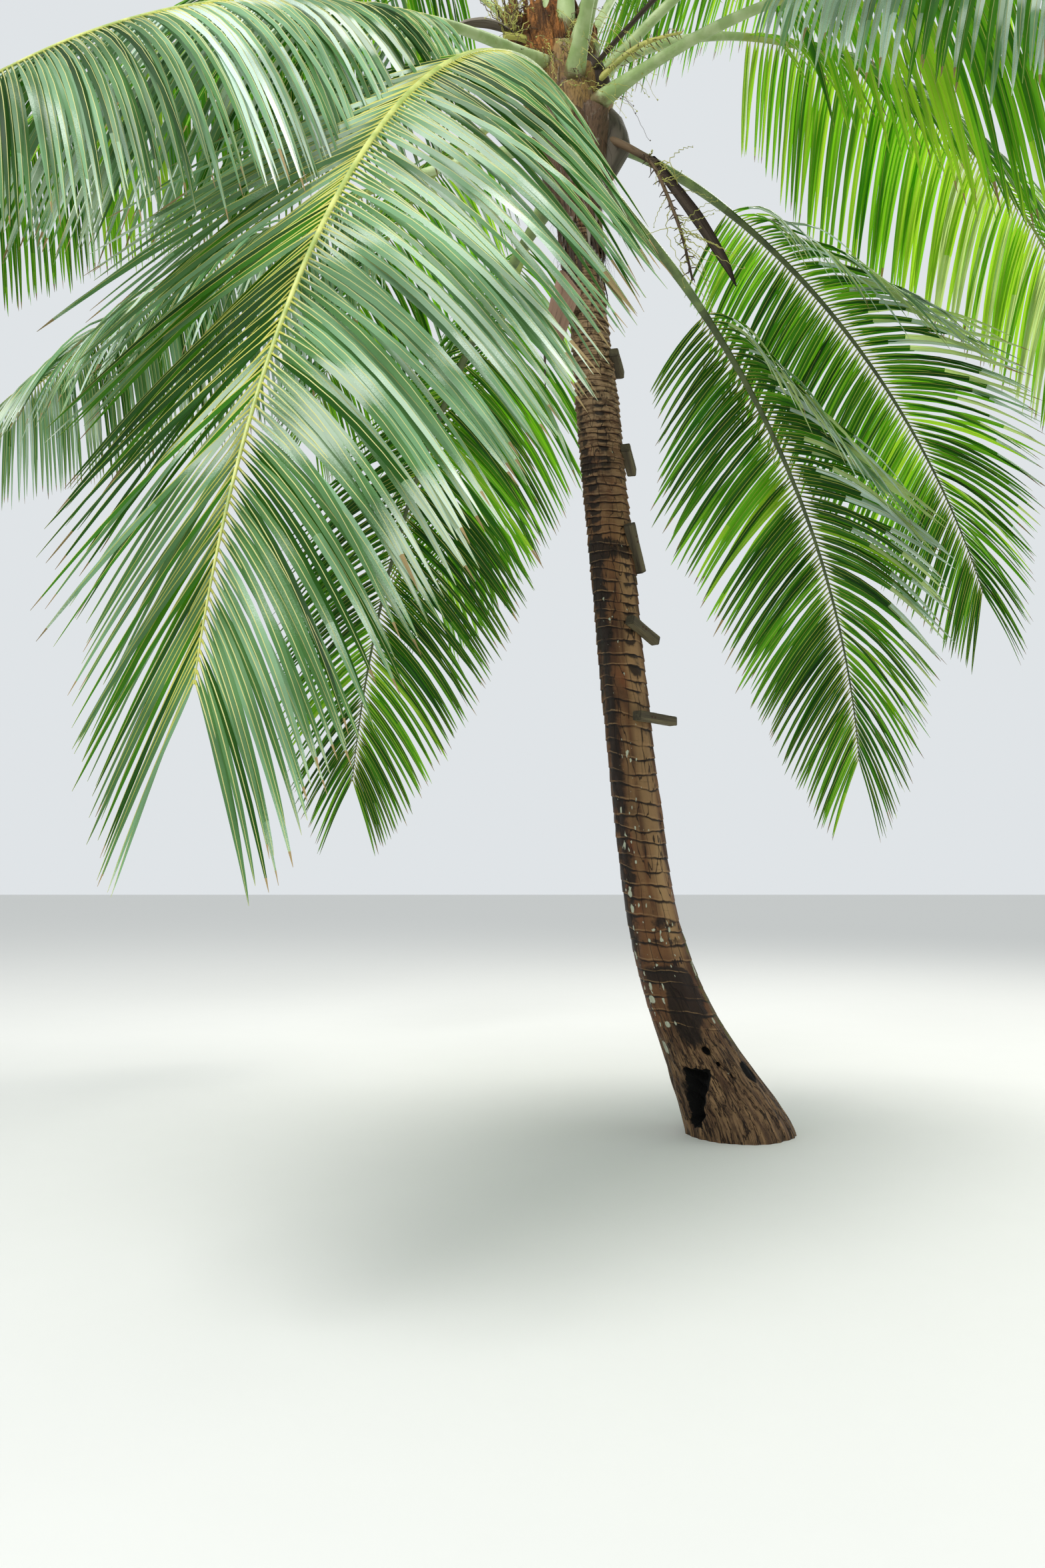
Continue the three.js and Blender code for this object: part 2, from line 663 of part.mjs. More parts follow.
function layLeaflets(frond, frames, sections, obstacles) {
  const leaflets = new Map();
  const spacing = (frond.length * (1 - PETIOLE_SHARE)) / BLADE_STATIONS;
  const reach = frond.reach ?? 1;
  for (let bay = PETIOLE_STATIONS; bay < SHARES.length - 1; bay++) {
    const t = (bay + 0.5 - PETIOLE_STATIONS) / BLADE_STATIONS;
    const frame = frameAt(frames, (SHARES[bay] + SHARES[bay + 1]) / 2);
    for (const side of [1, -1]) {
      const hand = side > 0 ? 0 : 1;
      const fold = (frond.fold ?? FOLD)[hand];
      const sag = 1 + (frond.sag ?? SAG)[hand] * (1 - smooth(0, SAG_TO, t));
      const root = rootOf(sections, bay, side);
      const centre = root.reduce((sum, p) => sum.add(p), point(0, 0, 0)).multiplyScalar(0.25);
      const narrow = root.map((p) => p.clone().lerp(centre, TEST_ROOT));
      for (const choice of CHOICES) {
        const hang = choice.hang * frond.hang[hand] * sag;
        const laid = { length: choice.length * reach, hang, swing: choice.swing, fold };
        const room = leafletPoints(root, frame, side, t, spacing, { ...laid, grow: LEAFLET_ROOM });
        if (blocked(frond, obstacles, root, narrow, room, side)) continue;
        const points = leafletPoints(root, frame, side, t, spacing, { ...laid, grow: 0 });
        leaflets.set(bay * side, points);
        obstacles.push(obstacle(leafletSolid(narrow, points, side), [...narrow, ...points], frond));
        break;
      }
    }
  }
  return leaflets;
}

// A leaflet is blocked where it meets another part or one of its own frond's
// leaflets; next to those its root is tested a little narrower.
function blocked(frond, obstacles, root, narrow, room, side) {
  const box = new THREE.Box3().setFromPoints([...root, ...room]);
  const near = obstacles.filter((other) => other.box.intersectsBox(box) && other.rib !== frond);
  const among = leafletSolid(narrow, room, side);
  const against = leafletSolid(root, room, side);
  return near.some((other) => meets(other.body, other.owner === frond ? among : against));
}

// All parts

const group = new THREE.Group();

function addPart(name, body, colour, roughness) {
  const mesh = body.getMesh();
  const geometry = new THREE.BufferGeometry();
  geometry.setAttribute('position', new THREE.BufferAttribute(new Float32Array(mesh.vertProperties), 3));
  geometry.setIndex(new THREE.BufferAttribute(new Uint32Array(mesh.triVerts), 1));
  geometry.computeVertexNormals();
  const material = new THREE.MeshStandardMaterial({ color: colour, roughness, metalness: 0 });
  const part = new THREE.Mesh(geometry, material);
  part.name = name;
  group.add(part);
}

const BARK = 0x8a6248;
const FIBRE = 0x8d6a45;
const OLD_WOOD = 0x4c382b;
const DRY_STALK = 0x5d5145;
const PALE_STALK = 0xb3ad6f;
const LEAF = 0x4f8a35;
const YOUNG_LEAF = 0x77a44a;

const grownTrunk = stemSolid(GAP);
const grownSheath = sheathSolid(GAP);

const bodies = new Map();
bodies.set('trunk', [trunkSolid(), BARK, 0.85]);
bodies.set('crown_sheath', [sheathSolid(0), FIBRE, 0.9]);
bodies.set('spear_leaf', [spearSolid(), YOUNG_LEAF, 0.5]);
STEPS.forEach((step, index) => {
  bodies.set(`climbing_step_${index + 1}`, [stepSolid(step, grownTrunk), OLD_WOOD, 0.85]);
});
bodies.set('spent_flower_right', [spentFlowerRight().subtract(grownSheath), DRY_STALK, 0.8]);
bodies.set('flower_stalk_right', [flowerStalkRight().subtract(grownSheath), PALE_STALK, 0.7]);
bodies.set('dark_sheath_right', [darkSheathRight().subtract(grownSheath), OLD_WOOD, 0.8]);
bodies.set('flower_cluster_left', [flowerClusterLeft().subtract(grownSheath), PALE_STALK, 0.7]);
bodies.set('hanging_leaf_base', [hangingLeafBase().subtract(grownTrunk), DRY_STALK, 0.85]);

const obstacles = [...bodies.values()].map(([body]) => ({ body, box: boxOf(body) }));
const ribs = FRONDS.map((frond) => {
  const frames = traceRib(frond);
  const sections = SHARES.map((share) => ribSection(frames, share, 0));
  const plain = piece(sections, new Map(), 0, SHARES.length - 1);
  obstacles.push({ ...obstacle(plain, sections.flat()), rib: frond });
  return { frond, frames, sections };
});

ribs.forEach(({ frond, frames, sections }, index) => {
  const leaflets = layLeaflets(frond, frames, sections, obstacles);
  const name = `frond_${String(index + 1).padStart(2, '0')}`;
  const last = SHARES.length - 1;
  if (index >= WHOLE_FROM) {
    bodies.set(name, [piece(sections, leaflets, 0, last).subtract(grownSheath), YOUNG_LEAF, 0.5]);
    return;
  }
  const apart = [...sections];
  apart[PARTING] = ribSection(frames, SHARES[PARTING], GAP);
  bodies.set(`${name}_inner`, [piece(sections, leaflets, 0, PARTING).subtract(grownSheath), LEAF, 0.5]);
  bodies.set(`${name}_outer`, [piece(apart, leaflets, PARTING, last), LEAF, 0.5]);
});

for (const [name, [body, colour, roughness]] of bodies) addPart(name, body, colour, roughness);

export default group;
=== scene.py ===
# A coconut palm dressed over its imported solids: ringed bark, fronds of narrow
# leaflets, a fibrous crown, flower stalks and weathered climbing steps.
import bpy
import math
import numpy as np
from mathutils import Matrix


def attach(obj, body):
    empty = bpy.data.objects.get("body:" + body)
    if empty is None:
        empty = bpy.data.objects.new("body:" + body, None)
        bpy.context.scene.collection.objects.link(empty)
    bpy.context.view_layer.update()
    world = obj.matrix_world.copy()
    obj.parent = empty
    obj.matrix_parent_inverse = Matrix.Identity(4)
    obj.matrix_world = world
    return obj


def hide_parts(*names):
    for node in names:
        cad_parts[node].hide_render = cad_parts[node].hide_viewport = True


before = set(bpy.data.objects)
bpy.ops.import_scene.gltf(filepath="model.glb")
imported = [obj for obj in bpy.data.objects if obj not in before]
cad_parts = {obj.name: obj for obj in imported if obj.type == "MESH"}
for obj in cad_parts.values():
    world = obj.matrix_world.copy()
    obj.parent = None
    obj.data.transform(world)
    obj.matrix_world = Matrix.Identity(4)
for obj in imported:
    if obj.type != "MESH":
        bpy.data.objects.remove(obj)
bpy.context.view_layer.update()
rng = np.random.default_rng(11)
UP = np.array([0.0, 0.0, 1.0])
ONE_TURN = 6.28                     # radians, for the random start of a wave


# Small sums

def smooth(low, high, x):
    """0 up to low, 1 from high on, and a soft climb between them."""
    t = np.clip((np.asarray(x, float) - low) / (high - low), 0, 1)
    return t * t * (3 - 2 * t)


def unit(v):
    return v / np.maximum(np.linalg.norm(v, axis=-1, keepdims=True), 1e-9)


def radians(degrees):
    return np.asarray(degrees, float) * math.pi / 180


def around(count):
    """Even angles round a full turn."""
    return np.linspace(0, 2 * math.pi, count, endpoint=False)


def spaced(values, count):
    """As many values as asked for, read off the line through the given ones."""
    return np.interp(np.linspace(0, 1, count), np.linspace(0, 1, len(values)), values)


def stacked(*parts):
    """Numbers and arrays spread to one shape, side by side along a new last axis."""
    return np.stack(np.broadcast_arrays(*parts), -1)


def srgb(code):
    """A linear colour from a hex code."""
    parts = [int(code[i:i + 2], 16) / 255 for i in (1, 3, 5)]
    return tuple(c / 12.92 if c < 0.04045 else ((c + 0.055) / 1.055) ** 2.4 for c in parts) + (1.0,)


# Finishes

def feed(tree, socket, value):
    if isinstance(value, Flow):
        tree.links.new(value.socket, socket)
    else:
        socket.default_value = value


class Flow:
    """A shader socket that takes part in sums."""

    def __init__(self, tree, socket):
        self.tree = tree
        self.socket = socket

    def sum(self, operation, one, two):
        node = self.tree.nodes.new("ShaderNodeMath")
        node.operation = operation
        feed(self.tree, node.inputs[0], one)
        feed(self.tree, node.inputs[1], two)
        return Flow(self.tree, node.outputs[0])

    def __add__(self, other):
        return self.sum("ADD", self, other)

    def __radd__(self, other):
        return self.sum("ADD", other, self)

    def __sub__(self, other):
        return self.sum("SUBTRACT", self, other)

    def __rsub__(self, other):
        return self.sum("SUBTRACT", other, self)

    def __mul__(self, other):
        return self.sum("MULTIPLY", self, other)

    def __rmul__(self, other):
        return self.sum("MULTIPLY", other, self)

    def __abs__(self):
        return self.sum("ABSOLUTE", self, 0.0)


class Finish:
    """One material: a surface shader and the nodes that feed it."""

    def __init__(self, name, roughness, **constants):
        self.material = bpy.data.materials.new(name)
        self.material.use_nodes = True
        self.tree = self.material.node_tree
        self.shader = self.tree.nodes["Principled BSDF"]
        self.shader.inputs["Roughness"].default_value = roughness
        for key, value in constants.items():
            self.shader.inputs[key.replace("_", " ")].default_value = value

    def node(self, kind, settings=None, inputs=None, output=0):
        made = self.tree.nodes.new(kind)
        for key, value in (settings or {}).items():
            setattr(made, key, value)
        for key, value in (inputs or {}).items():
            feed(self.tree, made.inputs[key], value)
        return Flow(self.tree, made.outputs[output])

    def set(self, key, value):
        feed(self.tree, self.shader.inputs[key], value)

    def place(self):
        """Where a point is on its own piece, in metres."""
        return self.node("ShaderNodeTexCoord", output=3)

    def mark(self, name, output=2):
        """A number that the mesh carries; output 1 gives a vector."""
        return self.node("ShaderNodeAttribute", {"attribute_name": name}, output=output)

    def noise(self, at, scale, detail=4.0, roughness=0.55, stretch=(1, 1, 1), wander=0.0):
        stretched = self.node("ShaderNodeVectorMath", {"operation": "MULTIPLY"}, {0: at, 1: stretch})
        return self.node("ShaderNodeTexNoise", inputs={
            "Vector": stretched, "Scale": scale, "Detail": detail,
            "Roughness": roughness, "Distortion": wander})

    def step(self, value, low, high):
        """0 up to low and 1 from high on; low may be the larger one."""
        return self.node("ShaderNodeMapRange", {"interpolation_type": "SMOOTHSTEP"},
                         {"Value": value, "From Min": low, "From Max": high})

    def mix(self, factor, one, two):
        """one where factor is 0, two where it is 1."""
        return self.node("ShaderNodeMix", {"data_type": "RGBA"},
                         {0: factor, 6: one, 7: two}, output=2)

    def two_tone(self, value, low, high, one, two):
        """One colour where the value is low, the other where it is high."""
        return self.mix(self.step(value, low, high), srgb(one), srgb(two))

    def stain(self, colour, value, low, high, code, share=1.0):
        """The colour with another laid over it, by its share, where the value is high."""
        return self.mix(self.step(value, low, high) * share, colour, srgb(code))

    def bump(self, height, strength, distance):
        normal = self.node("ShaderNodeBump", inputs={
            "Strength": strength, "Distance": distance, "Height": height})
        self.set("Normal", normal)

    def glow_through(self, colour, share):
        """Lets light pass through a thin leaf."""
        thin = self.node("ShaderNodeBsdfTranslucent", inputs={"Color": colour})
        both = self.tree.nodes.new("ShaderNodeMixShader")
        both.inputs[0].default_value = share
        self.tree.links.new(self.shader.outputs[0], both.inputs[1])
        self.tree.links.new(thin.socket, both.inputs[2])
        self.tree.links.new(both.outputs[0], self.tree.nodes["Material Output"].inputs[0])


def bark_finish():
    """Ringed bark: thin scars, hairline cracks between them and a fissured foot."""
    bark = Finish("ringed_bark", 0.6, Specular_IOR_Level=0.22)
    at = bark.mark("bark", 1)
    height = bark.node("ShaderNodeSeparateXYZ", inputs={0: at}, output=2)
    edge = bark.mark("edge")
    broad = bark.noise(at, 5.0, 3.0)
    streaks = bark.noise(at, 38.0, 5.0, 0.6, (1, 1, 0.12))
    grain = bark.noise(at, 160.0, 4.0, 0.6, (1, 1, 0.35))
    spots = bark.noise(at, 26.0, 5.0, 0.65)
    wrinkles = bark.noise(at, 70.0, 4.0, 0.6, (0.16, 0.16, 1))
    rusty = bark.noise(at, 7.5, 3.0, 0.5, (1, 1, 0.6))

    # brown, paler on the ledges high up and greyer at the foot
    brown = bark.two_tone(broad, 0.35, 0.65, "#442b1b", "#6d4a2d")
    brown = bark.stain(brown, streaks, 0.45, 0.75, "#8d6c47", 0.45)
    brown = bark.stain(brown, spots, 0.56, 0.75, "#2f2014", 0.55)
    brown = bark.stain(brown, rusty, 0.52, 0.7, "#6f3a1f", 0.5)
    ledge = bark.two_tone(spots + (wrinkles - 0.5), 0.36, 0.66, "#4d3c2b", "#9a8060")
    low = bark.two_tone(streaks, 0.35, 0.68, "#463424", "#8b6e4d")
    colour = bark.mix(bark.step(height, 2.9, 4.1) * 0.8, brown, ledge)
    colour = bark.mix(bark.step(height, 0.66, 0.42) * 0.85, colour, low)
    # painted highlight: the bark turns lighter where the sheen mark is high, down the lit side of the stem
    colour = bark.mix(bark.mark("sheen") * 0.5, colour, srgb("#a8875c"))
    colour = bark.stain(colour, wrinkles, 0.6, 0.74, "#2b1e14", 0.4)

    # dark wet patches and painted shade (on the stem's shaded side and under each scar's rim), and scars with
    # painted light on the upper lip and a painted shadow under it
    shade = bark.step(bark.mark("wet") + (spots - 0.5) * 1.1 + (streaks - 0.5) * 0.5, 0.3, 0.75)
    colour = bark.mix(shade * 0.92, colour, srgb("#1a110a"))
    colour = bark.stain(colour, edge + (spots - 0.5) * 0.6, 0.35, 0.8, "#a3825a", 0.5)
    colour = bark.stain(colour, edge * -1.0 + (spots - 0.5) * 0.5, 0.35, 0.85, "#170f09", 0.94)

    # hairline cracks between the scars, long splits at the foot
    lines = bark.mark("lines", 1)
    split = bark.mark("split")
    hairs = 1 - bark.step(abs(bark.noise(lines, 17.0, 2.0, 0.5) - 0.5), 0.003, 0.013)
    splits = 1 - bark.step(abs(bark.noise(at, 30.0, 3.0, 0.6, (1, 1, 0.09)) - 0.5), 0.006, 0.032)
    deeps = 1 - bark.step(abs(bark.noise(at, 62.0, 2.0, 0.5, (1, 1, 0.1)) - 0.53), 0.004, 0.024)
    open_crack = hairs * 0.7 * (1 - split) + (splits + deeps * 0.5) * split
    colour = bark.stain(colour, open_crack, 0.05, 0.8, "#1a100a", 0.88)

    # moss, pale lichen flecks and ovals, rust under old nails, charred wood
    colour = bark.stain(colour, bark.mark("moss") + (spots - 0.5) * 1.2, 0.4, 0.8, "#5d652c", 0.6)
    flecks = bark.noise(at, 62.0, 1.0, 0.5, (1, 1, 0.45))
    patchy = bark.noise(at, 15.0, 2.0, 0.5, (1, 1, 0.6))
    lichen = bark.step(flecks + patchy * 0.28 + bark.mark("lichen") * 0.16, 0.925, 0.955)
    lichen = bark.mix(bark.step(bark.mark("oval") + (grain - 0.5) * 0.9, 0.35, 0.6), lichen, (1, 1, 1, 1))
    colour = bark.mix(lichen * 0.9, colour, srgb("#b9bda6"))
    colour = bark.stain(colour, bark.mark("rust") + (streaks - 0.5) * 0.4, 0.4, 0.75, "#1d100a", 0.92)
    char = bark.step(bark.mark("char") + (spots - 0.5) * 0.6, 0.3, 0.55)
    colour = bark.mix(char, colour, srgb("#080706"))

    bark.set("Base Color", colour)
    bark.set("Roughness", 0.62 + char * 0.3 - shade * 0.06 + (grain - 0.5) * 0.3)
    relief = grain * 0.3 + streaks * 0.35 + spots * 0.3 + wrinkles * 0.3 - open_crack * 1.5 + lichen * 0.2
    bark.bump(relief, 0.8, 0.006)
    return bark.material


PAINTED_GLINT_SPREAD = 11.6                 # picks where the painted glints fall over the crown
# how much darker and lighter the painted shade and light in the leaves' drifts make them
PAINTED_SHADE_TINT, PAINTED_LIGHT_TINT = (0.66, 0.68, 0.66, 1), (1.2, 1.18, 1.22, 1)


def leaf_finish(name, colour, through, share, roughness=0.48, shine=0.3, painted_glint=0):
    """A leaf's colour in soft drifts of painted shade and light, with fine veins and light passing through.
    Painted glints lay soft near-white patches over it: painted reflections, as on leaflets after rain."""
    leaf = Finish(name, roughness, Specular_IOR_Level=shine)
    at = leaf.place()
    veins = leaf.noise(at, 300.0, 2.0, 0.5)
    drift = leaf.noise(at, 2.4, 2.0, 0.5)
    # painted shade and light: soft drifts of darker and lighter colour across the crown
    dark, light = np.array(srgb(colour)) * PAINTED_SHADE_TINT, np.minimum(np.array(srgb(colour)) * PAINTED_LIGHT_TINT, 1)
    colour = leaf.mix(leaf.step(drift + (veins - 0.5) * 0.1, 0.36, 0.64), tuple(dark), tuple(light))
    # painted reflections: soft near-white glints where the noise is high
    if painted_glint:
        wet = leaf.node("ShaderNodeTexNoise", {"noise_dimensions": "4D"}, {
            "Vector": at, "W": PAINTED_GLINT_SPREAD, "Scale": 2.3, "Detail": 1.5, "Roughness": 0.4})
        colour = leaf.stain(colour, wet + (veins - 0.5) * 0.1, 0.54, 0.65, "#e9f3e6", painted_glint)
    leaf.set("Base Color", colour)
    leaf.set("Roughness", roughness + (veins - 0.5) * 0.18)
    leaf.bump(veins, 0.16, 0.0015)
    leaf.glow_through(srgb(through), share)
    return leaf.material


def stalk_finish(name, light, dark, scurf, rough=0.5):
    """Green stalk: long streaks, brown scurf, painted shade on its lower side and a sheen of wax, brown and
    fibrous at its root.
    """
    stalk = Finish(name, rough, Specular_IOR_Level=0.5)
    at = stalk.place()
    long = stalk.noise(at, 9.0, 4.0, 0.55)
    fine = stalk.noise(at, 85.0, 4.0, 0.6)
    dots = stalk.noise(at, 34.0, 5.0, 0.7)
    colour = stalk.two_tone(long, 0.36, 0.64, light, dark)
    # painted shade: the stalk's lower side is darker
    colour = stalk.stain(colour, stalk.mark("under"), 0.2, 0.9, dark, 0.4)
    colour = stalk.stain(colour, dots, 0.63, 0.72, scurf, 0.75)
    root = stalk.step(stalk.mark("root") + (dots - 0.5) * 0.7 + (long - 0.5) * 0.6, 0.35, 0.75)
    stalk.set("Base Color", stalk.mix(root * 0.85, colour, stalk.mix(fine, srgb("#4a3826"), srgb("#8a6c48"))))
    stalk.set("Roughness", rough + (fine - 0.5) * 0.3)
    stalk.bump(fine * 0.6 + dots * 0.5, 0.35, 0.003)
    return stalk.material


def fibre_finish(name, light, dark, scale=1.0):
    """Leaf base cloth: two crossing sets of threads over mottled brown."""
    fibre = Finish(name, 0.85, Specular_IOR_Level=0.2)
    at = fibre.mark("weave", 1)
    one = fibre.noise(at, 60.0 * scale, 3.0, 0.6, (1, 1, 0.14), 0.3)
    two = fibre.noise(at, 75.0 * scale, 3.0, 0.6, (1, 0.2, 1), 0.3)
    mottle = fibre.noise(at, 7.0, 4.0, 0.6)
    thread = fibre.step(one, 0.42, 0.6) * 0.6 + fibre.step(two, 0.45, 0.62) * 0.4
    tone = fibre.two_tone(mottle, 0.35, 0.65, dark, light)
    fibre.set("Base Color", fibre.mix(thread, fibre.mix(0.75, tone, srgb("#1c120b")), tone))
    fibre.set("Roughness", 0.8 + (thread - 0.5) * 0.2)
    fibre.bump(thread, 0.9, 0.004)
    return fibre.material


def grained_finish(name, light, dark, line, stretch, rough=0.75, strength=0.6):
    """Dry grained wood or husk, its grain along the first axis of its own marks."""
    wood = Finish(name, rough, Specular_IOR_Level=0.25)
    at = wood.mark("grain", 1)
    grain = wood.noise(at, 90.0, 5.0, 0.65, (stretch, 1, 1), 0.4)
    broad = wood.noise(at, 14.0, 3.0, 0.5, (stretch * 2, 1, 1))
    fleck = wood.noise(at, 240.0, 2.0, 0.5, (stretch, 1, 1))
    colour = wood.two_tone(broad, 0.35, 0.65, light, dark)
    colour = wood.stain(colour, grain, 0.52, 0.68, line, 0.8)
    wood.set("Base Color", wood.stain(colour, wood.mark("tip"), 0.3, 0.9, line, 0.75))
    wood.set("Roughness", rough + (fleck - 0.5) * 0.3)
    wood.bump(grain * -1.0 + fleck * 0.3, strength, 0.003)
    return wood.material


def leaf_base_finish():
    """A clasping leaf base: green by its stalk, tan to brown below and at its edges."""
    base = Finish("leaf_base", 0.7, Specular_IOR_Level=0.3)
    at = base.mark("weave", 1)
    age = base.mark("age")
    mottle = base.noise(at, 16.0, 5.0, 0.65)
    threads = base.noise(at, 110.0, 4.0, 0.6, (1, 1, 0.08))
    colour = base.two_tone(age + (mottle - 0.5) * 0.4, 0.06, 0.2, "#a5b478", "#8f7144")
    colour = base.stain(colour, age + (mottle - 0.5) * 0.6, 0.25, 0.5, "#5a4433")
    colour = base.stain(colour, threads, 0.46, 0.66, "#2a1f17", 0.7)
    base.set("Base Color", base.stain(colour, mottle, 0.56, 0.72, "#857d72", 0.6))
    base.set("Roughness", 0.68 + (threads - 0.5) * 0.3)
    base.bump(threads + mottle * 0.5, 0.8, 0.004)
    return base.material


def floor_finish():
    ground = Finish("plain_floor", 0.9)
    soft = ground.noise(ground.place(), 3.0)
    ground.set("Base Color", ground.mix(soft * 0.2, srgb("#dcdcd8"), srgb("#e6e6e2")))
    return ground.material


# Meshes

def into_scene(name, data):
    made = bpy.data.objects.new(name, data)
    bpy.context.scene.collection.objects.link(made)
    return made


def grid_faces(rows, columns, closed):
    """Quads over rows of points; closed joins each row's ends."""
    last = columns if closed else columns - 1
    r, c = np.meshgrid(np.arange(rows - 1), np.arange(last), indexing="ij")
    n = (c + 1) % columns
    return stacked(r * columns + c, r * columns + n, (r + 1) * columns + n,
                   (r + 1) * columns + c).reshape(-1, 4)


class Batch:
    """Points and faces gathered into one piece, each face with its finish's number."""

    def __init__(self):
        self.points = []
        self.faces = []
        self.finish = []
        self.count = 0
        self.marks = {}

    def add(self, points, faces, finish=0, **marks):
        """Takes points, the faces between them and numbers or vectors that the points carry."""
        points = np.asarray(points, float).reshape(-1, 3)
        faces = np.asarray(faces, int)
        self.points.append(points)
        self.faces.append(faces + self.count)
        self.finish.append(np.broadcast_to(np.asarray(finish, int), (len(faces),)))
        for name, values in marks.items():
            values = np.asarray(values, float).reshape(len(points), -1)
            self.marks.setdefault(name, []).append((self.count, values))
        self.count += len(points)

    def sheet(self, points, finish=0, closed=False, turn=1, **marks):
        """Quads over rows and columns of points; turn -1 makes them face the other way."""
        self.add(points, grid_faces(*points.shape[:2], closed)[:, ::turn], finish, **marks)

    def lid(self, ring, finish=0, turn=1, **marks):
        """One flat face inside a ring of points."""
        self.add(ring, [np.arange(len(ring))[::turn]], finish, **marks)

    def fan(self, ring, middle, finish=0, turn=1, **marks):
        """Triangles from a ring of points to its middle, which is the last point."""
        n = len(ring)
        faces = stacked(np.arange(n), np.roll(np.arange(n), -1), n)[:, ::turn]
        self.add(np.vstack([ring, middle]), faces, finish, **marks)

    def piece(self, name, finishes, nodes):
        """Makes the piece, which replaces the nodes if there are any."""
        mesh = bpy.data.meshes.new(name)
        points = np.concatenate(self.points).astype(np.float32)
        mesh.vertices.add(len(points))
        mesh.vertices.foreach_set("co", points.ravel())
        sizes = np.concatenate([np.full(len(f), f.shape[1]) for f in self.faces])
        corners = np.concatenate([f.ravel() for f in self.faces]).astype(np.int32)
        starts = np.concatenate([[0], np.cumsum(sizes)[:-1]]).astype(np.int32)
        mesh.loops.add(len(corners))
        mesh.loops.foreach_set("vertex_index", corners)
        mesh.polygons.add(len(sizes))
        mesh.polygons.foreach_set("loop_start", starts)
        mesh.polygons.foreach_set("material_index", np.concatenate(self.finish).astype(np.int32))
        mesh.polygons.foreach_set("use_smooth", np.full(len(sizes), True))
        for finish in finishes:
            mesh.materials.append(finish)
        mesh.update(calc_edges=True)
        for key, parts in self.marks.items():
            columns = parts[0][1].shape[1]
            values = np.zeros((len(points), columns), np.float32)
            for start, part in parts:
                values[start:start + len(part)] = part
            kind, field = ("FLOAT_VECTOR", "vector") if columns == 3 else ("FLOAT", "value")
            mesh.attributes.new(key, kind, "POINT").data.foreach_set(field, values.ravel())
        mesh.validate()
        made = into_scene(name, mesh)
        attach(made, "root")
        if nodes:
            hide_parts(*nodes)


def fine_path(path, count):
    """A smooth curve through the path's points."""
    path = np.asarray(path, float)
    padded = np.vstack([2 * path[0] - path[1], path, 2 * path[-1] - path[-2]])
    place = np.linspace(0, len(path) - 1, count)
    index = np.minimum(place.astype(int), len(path) - 2)
    t = (place - index)[:, None]
    a, b, c, d = (padded[index + k] for k in range(4))
    return 0.5 * (2 * b + (c - a) * t + (2 * a - 5 * b + 4 * c - d) * t ** 2
                  + (3 * b - a - 3 * c + d) * t ** 3)


def path_run(path):
    """The direction that a path takes at each of its points."""
    return unit(np.gradient(path, axis=0))


def path_axes(path):
    """The run, flat and high directions along a path."""
    run = path_run(path)
    flat = np.cross(run, UP)
    flat = unit(np.where(np.linalg.norm(flat, axis=1, keepdims=True) < 1e-3, [[1.0, 0, 0]], flat))
    return run, flat, np.cross(run, flat)


def add_tube(batch, path, radii, sides=8, finish=0):
    """A round stem along a path, with marks for its grain and its dry tip."""
    path = np.asarray(path, float)
    radii = spaced(radii, len(path))[:, None, None]
    run, flat, high = path_axes(path)
    angle = around(sides)
    ring = (path[:, None] + radii * np.cos(angle)[None, :, None] * flat[:, None]
            + radii * np.sin(angle)[None, :, None] * high[:, None])
    length = np.concatenate([[0], np.cumsum(np.linalg.norm(np.diff(path, axis=0), axis=1))])
    grain = stacked(length[:, None], 0.02 * np.cos(angle)[None], 0.02 * np.sin(angle)[None])
    tip = np.broadcast_to(np.linspace(0, 1, len(path))[:, None] ** 3, ring.shape[:2])
    batch.sheet(ring, finish, True, grain=grain, weave=ring, tip=tip)
    for row, turn in ((ring[0], -1), (ring[-1], 1)):
        batch.lid(row, finish, turn, grain=np.zeros((sides, 3)), weave=row)


# Trunk, from the source's sizes

TRUNK_TOP = 5.1
COLUMNS = 144
FOOT_ROWS = 64
FIRST_SCAR = 0.56
SCAR_ROWS = np.array([0.0, 0.07, 0.17, 0.36, 0.6, 0.82, 0.95])
SCAR_SPACING = [0.5, 1.9, 2.9, 3.6, 5.1], [0.08, 0.072, 0.055, 0.04, 0.036]
SCAR_WAVES = [(2, 0.09), (3, 0.06), (7, 0.03), (17, 0.016)]
# how far scars stand out up the stem; then, from one scar to the next, their profile, the painted light
# and shade on their edges and the painted shade below them
SCAR_RELIEF = [0.55, 0.9, 2.4, 3.4, 5.1], [0.001, 0.0022, 0.0035, 0.007, 0.009]
SCAR_PROFILE = [0, 0.07, 0.17, 0.6, 0.95, 1], [-0.6, 1.0, 0.7, 0.25, -0.35, -0.6]
SCAR_EDGE = [0, 0.07, 0.17, 0.36, 0.78, 0.93, 1], [-0.7, 0.8, 0.3, 0, -0.25, -0.95, -1]
SCAR_RIM_SHADE = [0, 0.07, 0.2, 0.5, 1], [0, 0.0, 0.0, 0.35, 1.0]
HOLLOW = dict(azimuth=236, width=0.19, bottom=0.05, top=0.372, depth=0.09)
HOLLOW_OUTLINE = np.array([[-0.82, 0], [-0.49, 0], [-0.34, 0.13], [0.16, 0.57], [0.62, 0.985],
                           [-0.2, 1], [-0.53, 0.57], [-0.86, 0.13]])

